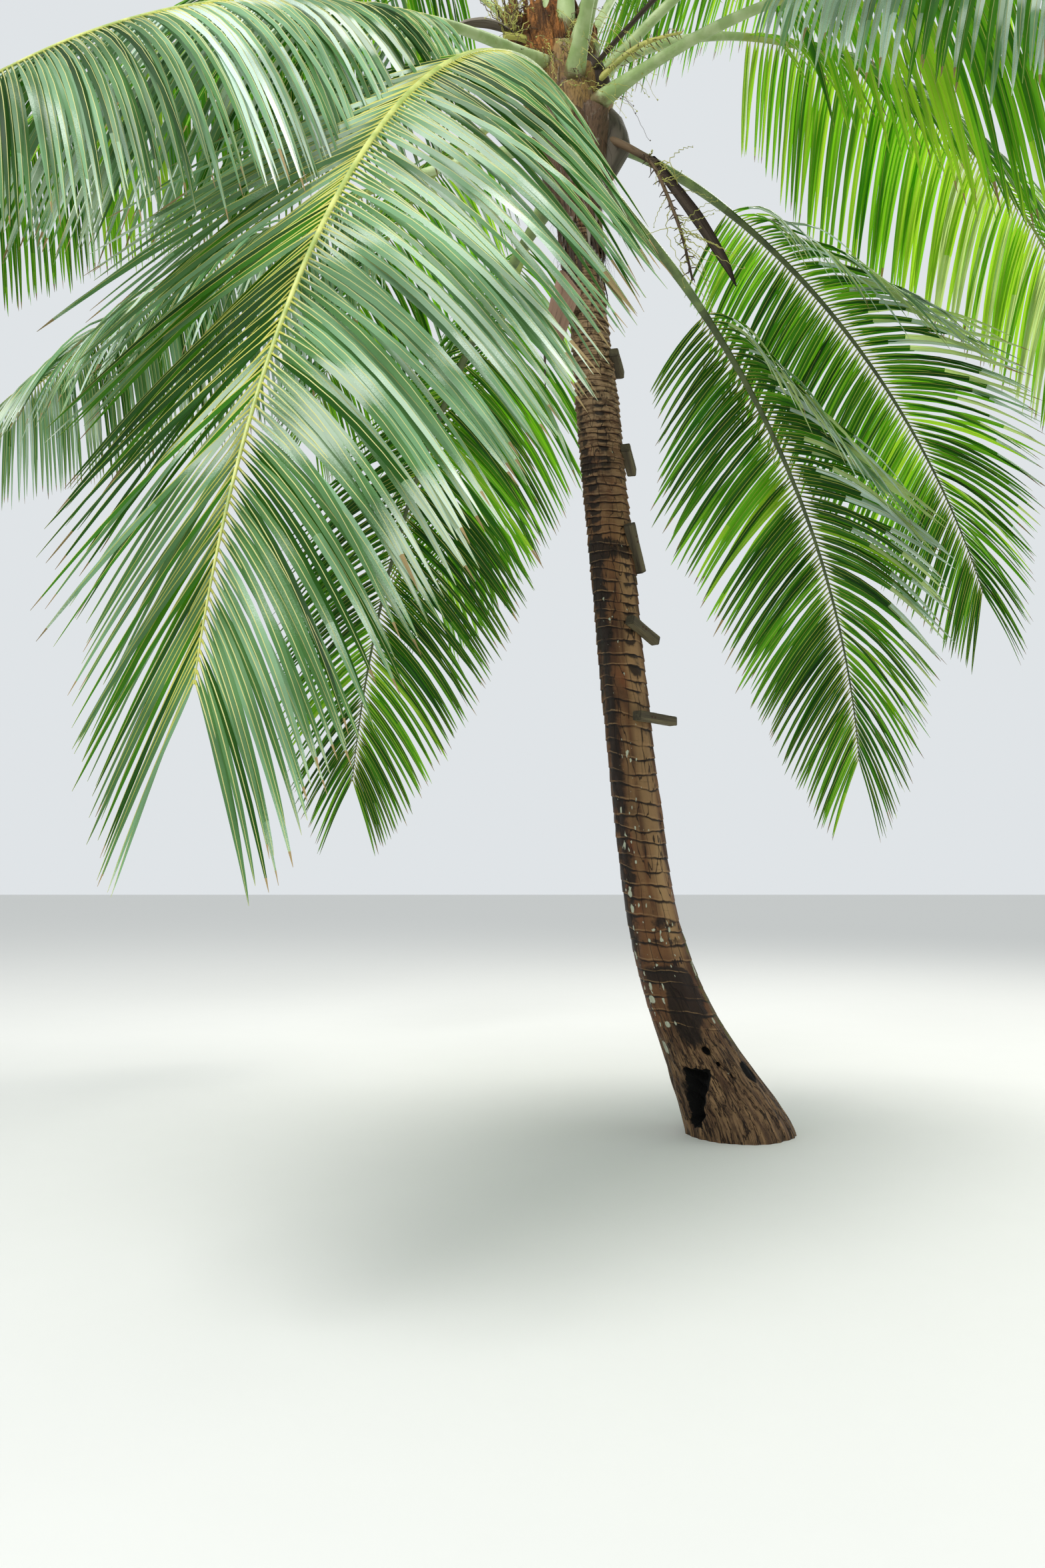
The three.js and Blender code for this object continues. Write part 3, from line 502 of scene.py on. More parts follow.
# ovals on the bark: azimuth, height, width and height of each
PALE_OVALS = [
    (242, 1.522, 0.011, 0.026), (247, 1.422, 0.014, 0.022), (236, 1.261, 0.010, 0.014),
    (238, 1.198, 0.014, 0.021), (255, 1.198, 0.013, 0.015), (296, 1.068, 0.015, 0.034),
    (307, 1.096, 0.010, 0.020), (246, 1.012, 0.017, 0.025), (272, 1.017, 0.022, 0.034),
    (280, 0.999, 0.012, 0.016), (318, 1.020, 0.010, 0.020), (337, 0.891, 0.015, 0.030),
    (219, 1.251, 0.030, 0.040), (218, 1.175, 0.030, 0.055), (197, 0.931, 0.025, 0.055),
    (224, 1.690, 0.014, 0.038), (223, 1.508, 0.018, 0.050), (330, 1.260, 0.010, 0.020),
    (248, 0.888, 0.016, 0.020), (215, 0.705, 0.045, 0.050), (248, 0.777, 0.012, 0.035),
    (230, 0.582, 0.032, 0.036), (205, 0.457, 0.036, 0.080), (239, 0.705, 0.016, 0.030),
    (319, 0.601, 0.018, 0.028), (333, 0.849, 0.018, 0.060), (245, 0.588, 0.016, 0.024),
    (215, 0.578, 0.016, 0.028), (221, 0.773, 0.020, 0.050), (60, 1.3, 0.020, 0.030),
    (95, 0.95, 0.016, 0.028), (128, 1.62, 0.020, 0.040), (20, 1.9, 0.014, 0.026),
    (160, 1.2, 0.022, 0.036),
]
BURNT_HOLES = [(274, 0.453, 0.05, 0.05), (281, 0.387, 0.024, 0.028), (290, 0.33, 0.012, 0.03)]
# patches on the bark: the same four after the strength of each
SCORCHED = [(0.75, 322, 0.34, 0.1, 0.13), (0.5, 215, 0.2, 0.1, 0.3)]
# dark wet patches and painted shade: the tall strips at 205 and 230 degrees darken the shaded side of the
# stem
WET_AND_SHADE_PATCHES = [
    (0.8, 268, 0.83, 0.3, 0.14), (0.9, 288, 0.72, 0.24, 0.3), (0.8, 262, 0.6, 0.17, 0.32),
    (0.55, 278, 1.0, 0.26, 0.07), (0.6, 285, 1.1, 0.2, 0.08), (0.4, 235, 1.33, 0.2, 0.06),
    (0.75, 240, 3.08, 0.42, 0.14), (0.6, 222, 2.84, 0.2, 0.09), (0.55, 215, 2.62, 0.18, 0.16),
    (0.5, 250, 3.55, 0.3, 0.12), (0.5, 205, 2.3, 0.16, 4.6), (0.35, 230, 2.2, 0.1, 2.4),
    (0.5, 300, 2.43, 0.1, 0.12), (0.5, 70, 2.2, 0.2, 1.4), (0.6, 150, 1.1, 0.3, 0.5),
    (0.5, 100, 3.5, 0.4, 0.3),
]
LICHEN_PATCHES = [
    (0.6, 210, 0.98, 0.09, 0.9), (0.6, 206, 0.62, 0.11, 0.5), (0.5, 262, 1.0, 0.2, 0.35),
    (0.5, 222, 1.24, 0.07, 0.18), (0.45, 240, 2.75, 0.12, 0.4), (0.4, 250, 1.8, 0.2, 1.2),
    (0.7, 120, 1.3, 0.3, 1.6), (0.6, 30, 2.1, 0.2, 1.2), (0.7, 325, 0.85, 0.05, 0.4),
]
MOSS_PATCHES = [(0.6, 345, 0.75, 0.14, 0.9), (0.4, 60, 0.5, 0.4, 0.9), (0.4, 160, 0.4, 0.3, 0.6)]
# painted highlight: lighter sheen patches, mostly down the lit side of the stem
SHEEN_PATCHES = [(1, 300, 2.1, 0.13, 2.9), (0.6, 312, 1.25, 0.12, 0.7), (0.4, 255, 1.7, 0.06, 1.2),
                 (0.5, 120, 2.4, 0.2, 2.6)]
# trails of rust under old nails: azimuth and height of each
RUST_TRAILS = [(297, 1.55), (309, 1.55), (317, 1.54), (283, 0.905), (289, 0.91), (295, 0.905), (304, 0.92)]


def trunk_radius(z):
    flare = 0.135 * np.exp(-(np.maximum(z, 0) / 0.55) ** 1.5)
    return 0.136 - 0.0055 * z - 0.018 * smooth(3.8, 4.5, z) + flare


def stem_centre(z):
    return -0.391 * (1 - np.exp(-(np.maximum(z, 0) / 0.62) ** 1.5)) - 0.09 * z


def ripple(angle, z, seed, waves, tall):
    """Soft unevenness round and along the stem, about -1 to 1."""
    own = np.random.default_rng(seed)
    total = np.zeros(np.broadcast(angle, z).shape)
    for _ in range(waves):
        total += np.cos(own.integers(1, 7) * angle + own.uniform(-1, 1) * tall * z
                        + own.uniform(0, ONE_TURN))
    return total / math.sqrt(waves)


def scar_spacing(z):
    return float(np.interp(z, *SCAR_SPACING))


def scar_heights():
    heights = [FIRST_SCAR]
    while heights[-1] < TRUNK_TOP - 0.03:
        heights.append(heights[-1] + scar_spacing(heights[-1]) * rng.uniform(0.8, 1.2))
    heights[-1] = TRUNK_TOP
    return np.array(heights)


def scar_tilts(heights, angle):
    """How each scar rises and falls round the stem; the last is the stem's level top."""
    tilts = []
    lean = rng.uniform(0, ONE_TURN)
    for z in heights:
        lean += rng.uniform(-0.6, 0.6)
        tilt = 0.3 * np.sin(angle - lean)
        for waves, size in SCAR_WAVES:
            tilt = tilt + size * np.sin(waves * angle - rng.uniform(0, ONE_TURN))
        tilts.append(scar_spacing(z) * tilt)
    tilts[-1] = tilts[-1] * 0
    return np.array(tilts)


def angle_from(angle, azimuth):
    """How far round the stem an angle is from an azimuth, either way."""
    return (angle - radians(azimuth) + math.pi) % (2 * math.pi) - math.pi


def spot(angle, z, azimuth, height, wide, tall):
    """1 in the middle of an oval patch on the bark, 0 outside it."""
    across = angle_from(angle, azimuth) * trunk_radius(height) / (wide / 2)
    return 1 - smooth(0.55, 1.15, np.hypot(across, (z - height) / (tall / 2)))


def patches(angle, z, table, first=0.0):
    """Patches summed by their strengths, on top of what is there first."""
    return sum((strength * spot(angle, z, *place) for strength, *place in table), first)


def hollow_depth(angle, z):
    """How far inside the hollow's outline a point is, in metres; 0 outside."""
    turn = angle_from(angle, HOLLOW["azimuth"])
    across = np.sin(turn) * trunk_radius(z)
    across = np.where(np.abs(turn) > 1.4, 1.0, across)
    tall = HOLLOW["top"] - HOLLOW["bottom"]
    across = across + 0.005 * np.sin(z * 90) + 0.004 * np.sin(z * 37)
    level = z - HOLLOW["bottom"] + 0.004 * np.sin(across * 120)
    outline = HOLLOW_OUTLINE * (HOLLOW["width"], tall)
    inside = np.full(np.broadcast(across, level).shape, 1.0)
    for (ax, az), (bx, bz) in zip(outline, np.roll(outline, -1, axis=0)):
        size = math.hypot(bx - ax, bz - az)
        inside = np.minimum(inside, ((bx - ax) * (level - az) - (bz - az) * (across - ax)) / size)
    return np.maximum(inside, 0)


def trunk_rows(angle):
    """The heights of every row of points; then each row's place between its two scars, the number
    of the bay between them, and how strongly the scar stands out."""
    heights = scar_heights()
    tilts = scar_tilts(heights, angle)
    rows = [np.linspace(0, 1, FOOT_ROWS, endpoint=False)[:, None] * (FIRST_SCAR + tilts[0][None])]
    place = [np.full(FOOT_ROWS, 0.5)]
    bay = [np.zeros(FOOT_ROWS)]
    strength = [np.zeros((FOOT_ROWS, COLUMNS))]
    for k in range(len(heights) - 1):
        low, high = heights[k] + tilts[k], heights[k + 1] + tilts[k + 1]
        rows.append(low[None] + SCAR_ROWS[:, None] * (high - low)[None])
        place.append(SCAR_ROWS)
        bay.append(np.full(len(SCAR_ROWS), 1.0 + k))
        vary = np.clip(0.9 + 0.3 * ripple(angle, heights[k], 100 + k, 5, 1), 0.45, 1.5)
        strength.append(np.broadcast_to(vary, (len(SCAR_ROWS), COLUMNS)))
    rows.append(np.full((1, COLUMNS), TRUNK_TOP))
    place.append([0.5])
    bay.append([len(heights)])
    strength.append(np.zeros((1, COLUMNS)))
    return (np.concatenate(rows), np.concatenate(place)[:, None], np.concatenate(bay)[:, None],
            np.concatenate(strength))


def trunk_piece():
    """The stem: its scars and ridges, the burnt hollow and holes, and marks for the bark's finish."""
    angle = around(COLUMNS)
    z, share, bay, strength = trunk_rows(angle)
    theta = np.broadcast_to(angle, z.shape)
    scars = np.interp(z, *SCAR_RELIEF) * strength * np.interp(share, *SCAR_PROFILE)
    ridges = np.cos(theta * 26 + 2.2 * np.sin(z * 9) + 1.5 * np.sin(3 * theta)) * 0.0035
    radius = (trunk_radius(z) + scars
              + 0.0035 * ripple(theta, z, 5, 9, 9) + 0.0015 * ripple(theta * 3, z, 6, 9, 40)
              + ridges * (1 - smooth(0.3, 0.75, z))
              + 0.012 * ripple(theta, z, 8, 5, 5) * (1 - smooth(0.05, 0.5, z)))
    burnt = hollow_depth(theta, z)
    radius -= HOLLOW["depth"] * smooth(0, 0.032, burnt) * (0.85 + 0.15 * np.sin(z * 60 + theta * 9))
    char = smooth(0, 0.012, burnt)
    for place in BURNT_HOLES:
        hole = spot(theta, z, *place)
        radius -= 0.035 * hole
        char = np.maximum(char, hole)
    for patch in SCORCHED:
        char = np.maximum(char, patches(theta, z, [patch]))
    points = stacked(stem_centre(z) + radius * np.cos(theta), radius * np.sin(theta), z)

    # painted shade under each scar's rim, patchy round the stem and stronger high up
    rim_shade = (np.interp(share, *SCAR_RIM_SHADE) * (strength > 0)
             * np.clip(ripple(theta, z, 21, 7, 7) - 0.3, 0, 1) * (0.55 + 1.1 * smooth(2.1, 3.0, z)))
    oval = sum(spot(theta, z, *place) for place in PALE_OVALS)
    rust = sum(spot(theta, z, azimuth, height - 0.012, 0.015, 0.055) for azimuth, height in RUST_TRAILS)
    # painted light on each scar's upper lip and painted shade under it
    edge = np.interp(share, *SCAR_EDGE) * np.clip(strength, 0, 1.2)
    girth = trunk_radius(z)
    straight = stacked(girth * np.cos(theta), girth * np.sin(theta), z)
    lines = stacked(0.13 * np.cos(theta), 0.13 * np.sin(theta), bay * 0.014 + share * 0.01)
    batch = Batch()
    # the wet mark carries dark wet patches and painted shade, the sheen mark a painted highlight, the edge
    # mark painted light and shade at the scars
    batch.sheet(points, closed=True, bark=straight, edge=edge,
                wet=patches(theta, z, WET_AND_SHADE_PATCHES, rim_shade), lichen=patches(theta, z, LICHEN_PATCHES),
                oval=np.minimum(oval, 1), moss=patches(theta, z, MOSS_PATCHES), rust=rust, char=char,
                sheen=patches(theta, z, SHEEN_PATCHES), split=1 - smooth(0.5, 0.72, z), lines=lines)
    batch.fan(points[0], [stem_centre(0.0), 0, 0], turn=-1)
    batch.fan(points[-1], [stem_centre(TRUNK_TOP), 0, TRUNK_TOP])
    batch.piece("trunk_bark", [bark_finish()], ["trunk"])


# Fronds, from the source's sizes

SHEATH_HEIGHTS = np.array([0, 0.15, 0.35, 0.6, 0.85, 1.05, 1.2])
SHEATH_RADII = np.array([0.118, 0.148, 0.17, 0.165, 0.138, 0.098, 0.046])
PETIOLE_SHARE = 0.27
LEAFLET_SPACING = 0.0285
LEAFLET_LENGTH = 1.18
LEAFLET_WIDTH = 0.039
UNDIVIDED_FROM = 17                 # from this frond on, the source has one solid a frond
RIB_POINTS = 121
# half the width and half the height of a rib: at the foot, along the stalk, where the leaflets
# begin and at the tip
RIB_FOOT, RIB_STALK, RIB_BLADE, RIB_TIP = (0.066, 0.034), (0.038, 0.024), (0.027, 0.017), (0.007, 0.006)
# the section of a rib, as shares of its half sizes: first channelled, then ridged
CHANNELLED = np.array([[1, .45], [.9, .95], [.5, .7], [0, .58], [-.5, .7], [-.9, .95], [-1, .45],
                       [-.9, -.2], [-.55, -.82], [0, -1], [.55, -.82], [.9, -.2]])
RIDGED = np.array([[1, .1], [.8, .5], [.42, .86], [0, 1.05], [-.42, .86], [-.8, .5], [-1, .1],
                   [-.82, -.4], [-.45, -.85], [0, -1], [.45, -.85], [.82, -.4]])
# places along a leaflet, and its outline, crease and midrib along it
STATIONS = np.array([0, 0.025, 0.08, 0.17, 0.29, 0.42, 0.55, 0.67, 0.78, 0.87, 0.945, 1.0])
OUTLINE = np.interp(STATIONS, [0, 0.025, 0.08, 0.17, 0.42, 0.67, 0.87, 0.945, 1],
                    [0.38, 0.45, 0.78, 0.96, 1, 0.84, 0.5, 0.3, 0.05])[None]
CREASE = radians(np.interp(STATIONS, [0, 0.1, 0.4, 1], [48, 36, 25, 30]))[None]
MIDRIB_RISE = np.interp(STATIONS, [0, 0.1, 1], [0.0035, 0.0018, 0.0005])[None]
MIDRIB_HALF = np.interp(STATIONS, [0, 0.06, 0.5, 1], [0.0036, 0.0017, 0.0012, 0.0005])[None]
HANG_STEPS = 24
LINES = 7                           # lines of points along a leaflet
STRIPS = np.array([0, 2, 3, 5])     # the line at which each strip of its faces starts
LIMP = 2                            # leaflets that sag more than this turn their ends out, painted pale as a reflection of the sky

# pairs are for the frond's two sides
FROND_SIZES = ["azimuth", "height", "rise", "fall", "bend", "length", "turn", "reach", "hang", "fold",
               "sag", "looks"]
FRONDS = [dict(zip(FROND_SIZES, sizes)) for sizes in [
    (258, 5.45, -10, -81, 0.95, 5.3, -18, 1.08, (0.8, 0.4), (13, -8), (1, 0), ("wet", "dim")),
    (232, 5.76, -9, -48, 0.73, 4.4, 21, 1, (2, 2), (8, 8), (0.2, 0.2), ("silvery", "silvery")),
    (154, 5.41, 8, -33, 0.91, 4.5, 5, 1, (2.2, 2.2), (8, 8), (0.2, 0.2), ("silvery", "silvery")),
    (124, 5.22, -21, -77, 0.97, 4.4, -3, 1, (0.7, 0.7), (4, 4), (0, 0), ("deep", "deep")),
    (43, 5.27, -15, -86, 0.92, 4.3, -9, 1, (0.5, 0.9), (-6, -28), (0, 2.2), ("deep", "deep")),
    (40, 5.46, 15, -68, 0.8, 4.5, -14, 1, (0.7, 0.7), (-6, -34), (0, 3), ("deep", "deep")),
    (315, 5.5, 12, -67, 0.97, 4.7, 4, 1, (2.2, 1.5), (10, 10), (0.2, 0.2), ("bright", "waxy")),
    (20, 5.7, 51, -79, 0.85, 4.6, -5, 1, (1.9, 1.9), (10, 10), (0.2, 0.2), ("pale", "bright")),
    (100, 5.45, 8, -64, 1, 4.2, 14, 1, (1.2, 1.2), (10, 10), (0.2, 0.2), ("mixed", "mixed")),
    (168, 5.66, 36, -50, 1.1, 4.5, -6, 1, (1.7, 1.7), (10, 10), (0.2, 0.2), ("mixed", "mixed")),
    (116, 5.6, 34, -52, 1.1, 4.5, 8, 1, (1.6, 1.6), (10, 10), (0.2, 0.2), ("mixed", "mixed")),
    (278, 5.6, 26, -42, 1.1, 4.4, 6, 1, (1.6, 1.6), (10, 10), (0.2, 0.2), ("mixed", "mixed")),
    (347, 5.61, 50, -40, 1.15, 4.5, -5, 1, (1.5, 1.5), (10, 10), (0.2, 0.2), ("mixed", "mixed")),
    (292, 5.74, 46, -35, 1.2, 4.4, 8, 1, (1.4, 1.4), (10, 10), (0.2, 0.2), ("mixed", "mixed")),
    (50, 5.77, 65, 2, 1.35, 4.3, -6, 1, (1, 1), (10, 10), (0.2, 0.2), ("young", "young")),
    (140, 5.8, 58, -25, 1.3, 4.3, 5, 1, (1.2, 1.2), (10, 10), (0.2, 0.2), ("mixed", "mixed")),
    (272, 5.86, 66, 8, 1.35, 4.1, -6, 1, (0.8, 0.8), (10, 10), (0.2, 0.2), ("young", "young")),
    (104, 5.9, 74, 30, 1.4, 3.8, 5, 1, (0.6, 0.6), (10, 10), (0.2, 0.2), ("young", "young")),
    (338, 5.93, 70, 20, 1.4, 3.9, 6, 1, (0.7, 0.7), (10, 10), (0.2, 0.2), ("young", "young")),
    (188, 5.98, 80, 44, 1.5, 3.5, 0, 1, (0.5, 0.5), (10, 10), (0.2, 0.2), ("young", "young")),
]]
FRONDS_A_PIECE = 4
# the leaflets' finishes by number
DEEP, GREEN, LIGHT, BRIGHT, GREY_GREEN, GLAUCOUS, SHEEN, PALE, DRY, MIDRIB, SOFT_MIDRIB, FOOT = range(12)
# each look's finishes, from dark to light, and their shares
LOOKS = {
    # glaucous greens with some sheen: partly the leaflets' own tone, partly painted reflection of the sky on
    # their upper sides
    "silvery": ([DEEP, GREY_GREEN, GLAUCOUS, SHEEN], [0.12, 0.38, 0.4, 0.1]),
    # frond 1's lit side: lighter greys and glaucous tones as painted light
    "wet": ([DEEP, GREY_GREEN, GLAUCOUS], [0.12, 0.43, 0.45]),
    # frond 1's side in shade: darker tones as painted shade
    "dim": ([DEEP, GREEN, GREY_GREEN, GLAUCOUS], [0.26, 0.16, 0.42, 0.16]),
    # mostly near-white sheen: painted reflection of the sky on the near leaflets of frond 7
    "waxy": ([GREEN, GREY_GREEN, GLAUCOUS, SHEEN], [0.12, 0.1, 0.26, 0.52]),
    # darker greens for the fronds that hang in shade: painted shade; their ribs also get the shaded stalk
    # finishes
    "deep": ([DEEP, GREEN, LIGHT, BRIGHT], [0.56, 0.32, 0.08, 0.04]),
    # lighter, yellower greens for leaflets lit from behind: painted light shining through them
    "bright": ([GREEN, LIGHT, BRIGHT], [0.3, 0.45, 0.25]),
    "pale": ([GREEN, LIGHT, BRIGHT, PALE], [0.12, 0.4, 0.33, 0.15]),
    "mixed": ([DEEP, GREEN, LIGHT, GLAUCOUS, BRIGHT], [0.22, 0.38, 0.2, 0.12, 0.08]),
    "young": ([GREEN, LIGHT, BRIGHT], [0.3, 0.5, 0.2]),
}
SOFT_RIBBED = ("silvery", "wet", "waxy")


def sheath_radius(z):
    return np.interp(z - TRUNK_TOP, SHEATH_HEIGHTS, SHEATH_RADII)


def trace_rib(frond):
    """The points along a frond's rib and the directions along, beside and above it."""
    share = np.linspace(0, 1, RIB_POINTS)
    slope = radians(frond["rise"] + (frond["fall"] - frond["rise"]) * share ** frond["bend"])
    angle = radians(frond["azimuth"] + frond["turn"] * share)
    along = stacked(np.cos(slope) * np.cos(angle), np.cos(slope) * np.sin(angle), np.sin(slope))
    side = stacked(-np.sin(angle), np.cos(angle), 0.0)
    height = frond["height"]
    reach = 0.45 * sheath_radius(height)
    start = np.array([stem_centre(height) + reach * np.cos(angle[0]), reach * np.sin(angle[0]), height])
    steps = along[:-1] * frond["length"] / (RIB_POINTS - 1)
    at = start + np.vstack([np.zeros(3), np.cumsum(steps, axis=0)])
    return at, along, side, np.cross(along, side)


def rib_at(rib, share):
    places = np.linspace(0, 1, RIB_POINTS)
    at, along, side, up = (stacked(*(np.interp(share, places, column) for column in part.T)) for part in rib)
    return at, unit(along), unit(side), unit(up)


def rib_half_sizes(share):
    """Half the width and half the height of a rib at shares of its length."""
    flare = 1 - smooth(0, 0.11, share)
    taper = share / PETIOLE_SHARE
    t = np.clip((share - PETIOLE_SHARE) / (1 - PETIOLE_SHARE), 0, 1)
    end = 1 - 0.6 * t ** 5
    halves = []
    for foot, stalk, blade, tip in zip(RIB_FOOT, RIB_STALK, RIB_BLADE, RIB_TIP):
        below = stalk + (blade - stalk) * taper
        below = below + (foot - below) * flare
        halves.append(np.where(share > PETIOLE_SHARE, (blade + (tip - blade) * t ** 0.75) * end, below))
    return halves


def add_rib(batch, rib, shaded):
    """A frond's stalk and rib; shaded ones, seen from below, have darker finishes."""
    share = np.linspace(0, 1, 96)
    at, along, side, up = rib_at(rib, share)
    wide, tall = rib_half_sizes(share)
    wide = wide * (1 - 0.14 * smooth(0.3, 0.6, share))
    blend = smooth(0.2, 0.36, share)[:, None, None]
    section = CHANNELLED[None] * (1 - blend) + RIDGED[None] * blend
    ring = (at[:, None] + section[..., :1] * wide[:, None, None] * side[:, None]
            + section[..., 1:] * tall[:, None, None] * up[:, None])
    finish = np.where(np.repeat(share[:-1], len(CHANNELLED)) < 0.255, 0, 1) + 2 * shaded
    root = np.broadcast_to((1 - smooth(0.02, 0.065, share))[:, None], section.shape[:2])
    # the under mark darkens each rib's lower side in its finish: painted shade
    batch.sheet(ring, finish, True, -1, root=root, under=np.clip(0.5 - section[..., 1] * 0.5, 0, 1))
    batch.lid(ring[-1], 1 + 2 * shaded, -1)


def deal_tones(look, t):
    """A finish for each leaflet and a lighter one for its end, dealt out in drifts along the rib."""
    tones, shares = LOOKS[look]
    drift = np.sin(t * 9 + rng.uniform(0, ONE_TURN)) + 0.8 * np.sin(t * 23 + rng.uniform(0, ONE_TURN))
    order = np.argsort(np.argsort(drift + rng.normal(0, 0.8, len(t)))) / len(t)
    step = np.minimum(np.searchsorted(np.cumsum(shares), order, side="right"), len(tones) - 1)
    tones = np.array(tones)
    return tones[step], tones[np.minimum(step + 1, len(tones) - 1)]


def leaflet_finishes(look, sag, t):
    """The finish of every face, by leaflet, station and strip."""
    n, stations = len(t), len(STATIONS)
    tone, end_tone = deal_tones(look, t)
    station = np.arange(stations - 1)
    turned = station > np.where(rng.random(n) < 0.15, rng.integers(4, 10, n), stations)[:, None]
    finish = np.where(turned, end_tone[:, None], tone[:, None])
    # painted reflection: the outer parts of sagging leaflets take pale and sheen tones, as where their upper
    # sides catch the sky
    if sag > LIMP:
        bent = station > (3 + 7 * smooth(0.25, 0.9, t) + rng.integers(-1, 3, n))[:, None]
        pale = rng.choice([PALE, SHEEN, GLAUCOUS], n, p=[0.45, 0.4, 0.15])
        finish = np.where(bent, pale[:, None], finish)
    finish = np.repeat(finish[..., None], len(STRIPS), -1)
    finish[:, :, 1:3] = SOFT_MIDRIB if look in SOFT_RIBBED else MIDRIB
    finish[:, 0, 1:3] = FOOT
    ends = rng.random(n)
    finish[ends < 0.36, -1, :] = DRY
    finish[ends < 0.04, -2:, :] = DRY
    return finish


def hanging_lines(root, first, hang, length):
    """The middle line of each leaflet and its run, from its root in its first direction and then
    ever more downwards."""
    part = (np.arange(HANG_STEPS) + 0.5) / HANG_STEPS
    steps = unit(first[:, None] - UP * (hang[:, None] * part)[..., None])
    path = np.concatenate([np.zeros((len(root), 1, 3)), np.cumsum(steps, 1)], 1)
    path = path * (length / HANG_STEPS)[:, None, None]
    place = STATIONS * HANG_STEPS
    index = np.minimum(place.astype(int), HANG_STEPS - 1)
    rest = (place - index)[None, :, None]
    centre = root[:, None] + path[:, index] * (1 - rest) + path[:, index + 1] * rest
    return centre, unit(first[:, None] - UP * (hang[:, None] * STATIONS)[..., None])


def add_leaflets(batch, rib, frond, hand):
    """One side's leaflets: folded blades with a raised midrib, hanging by the source's rule."""
    limp, fold, sag, look = (frond[key][int(hand < 0)] for key in ("hang", "fold", "sag", "looks"))
    n = int(frond["length"] * (1 - PETIOLE_SHARE) / LEAFLET_SPACING)
    t = (np.arange(n) + 0.5 + rng.uniform(-0.22, 0.22, n)) / n
    share = PETIOLE_SHARE + (1 - PETIOLE_SHARE) * t
    at, along, side, up = rib_at(rib, share)
    wide, tall = rib_half_sizes(share)
    root = at + side * (hand * wide * 0.84)[:, None] + up * (tall * 0.2)[:, None]
    length = LEAFLET_LENGTH * frond["reach"] * (0.52 + 0.48 * smooth(0, 0.24, t)) * (1 - 0.5 * t ** 2.5)
    length *= 1 + rng.normal(0, 0.025, n)
    spread = radians(74 - 18 * t - 28 * t ** 5 + rng.normal(0, 1.4, n))
    lift = radians(-12 - fold * (1 - smooth(0.35, 0.85, t)) + rng.normal(0, 3, n)
                   + 4 * np.sin(np.arange(n) * 2.4))
    hang = limp * (1 + sag * (1 - smooth(0, 0.45, t))) * (1 + rng.normal(0, 0.1, n))
    out = side * (hand * np.cos(lift))[:, None] + up * np.sin(lift)[:, None]
    first = along * np.cos(spread)[:, None] + out * np.sin(spread)[:, None]
    centre, run = hanging_lines(root, first, hang, length)
    across = unit(along[:, None] - run * np.sum(along[:, None] * run, -1, keepdims=True))
    normal = np.cross(run, across) * -hand
    twist = (rng.normal(0, 0.33, n)[:, None] * STATIONS ** 1.3
             + 0.12 * np.sin(STATIONS * 7 + rng.uniform(0, ONE_TURN, n)[:, None]))[..., None]
    across, normal = (across * np.cos(twist) + normal * np.sin(twist),
                      normal * np.cos(twist) - across * np.sin(twist))
    width = LEAFLET_WIDTH * (0.7 + 0.3 * smooth(0, 0.2, t)) * (1 - 0.4 * t ** 3)
    half = 0.5 * width[:, None] * OUTLINE * (1 + rng.normal(0, 0.05, n))[:, None]

    def line(aside, above):
        return centre + across * aside[..., None] + normal * above[..., None]

    edge, drop = half * np.cos(CREASE), -half * np.sin(CREASE)
    level = np.zeros_like(half)
    mid = np.broadcast_to(MIDRIB_HALF, half.shape)
    near, far = line(mid, level), line(-mid, level)
    ridge = line(level, np.broadcast_to(MIDRIB_RISE, half.shape))
    points = np.stack([line(edge, drop), near, near, ridge, far, far, line(-edge, drop)], 2)
    stations = len(STATIONS)
    corner = ((np.arange(n) * stations * LINES)[:, None, None]
              + (np.arange(stations - 1) * LINES)[:, None] + STRIPS)
    quads = stacked(corner, corner + 1, corner + LINES + 1, corner + LINES)
    if hand > 0:
        quads = quads[..., ::-1]
    batch.add(points, quads.reshape(-1, 4), leaflet_finishes(look, sag, t).ravel())


def frond_nodes(number):
    name = f"frond_{number:02d}"
    return [name] if number >= UNDIVIDED_FROM else [name + "_inner", name + "_outer"]


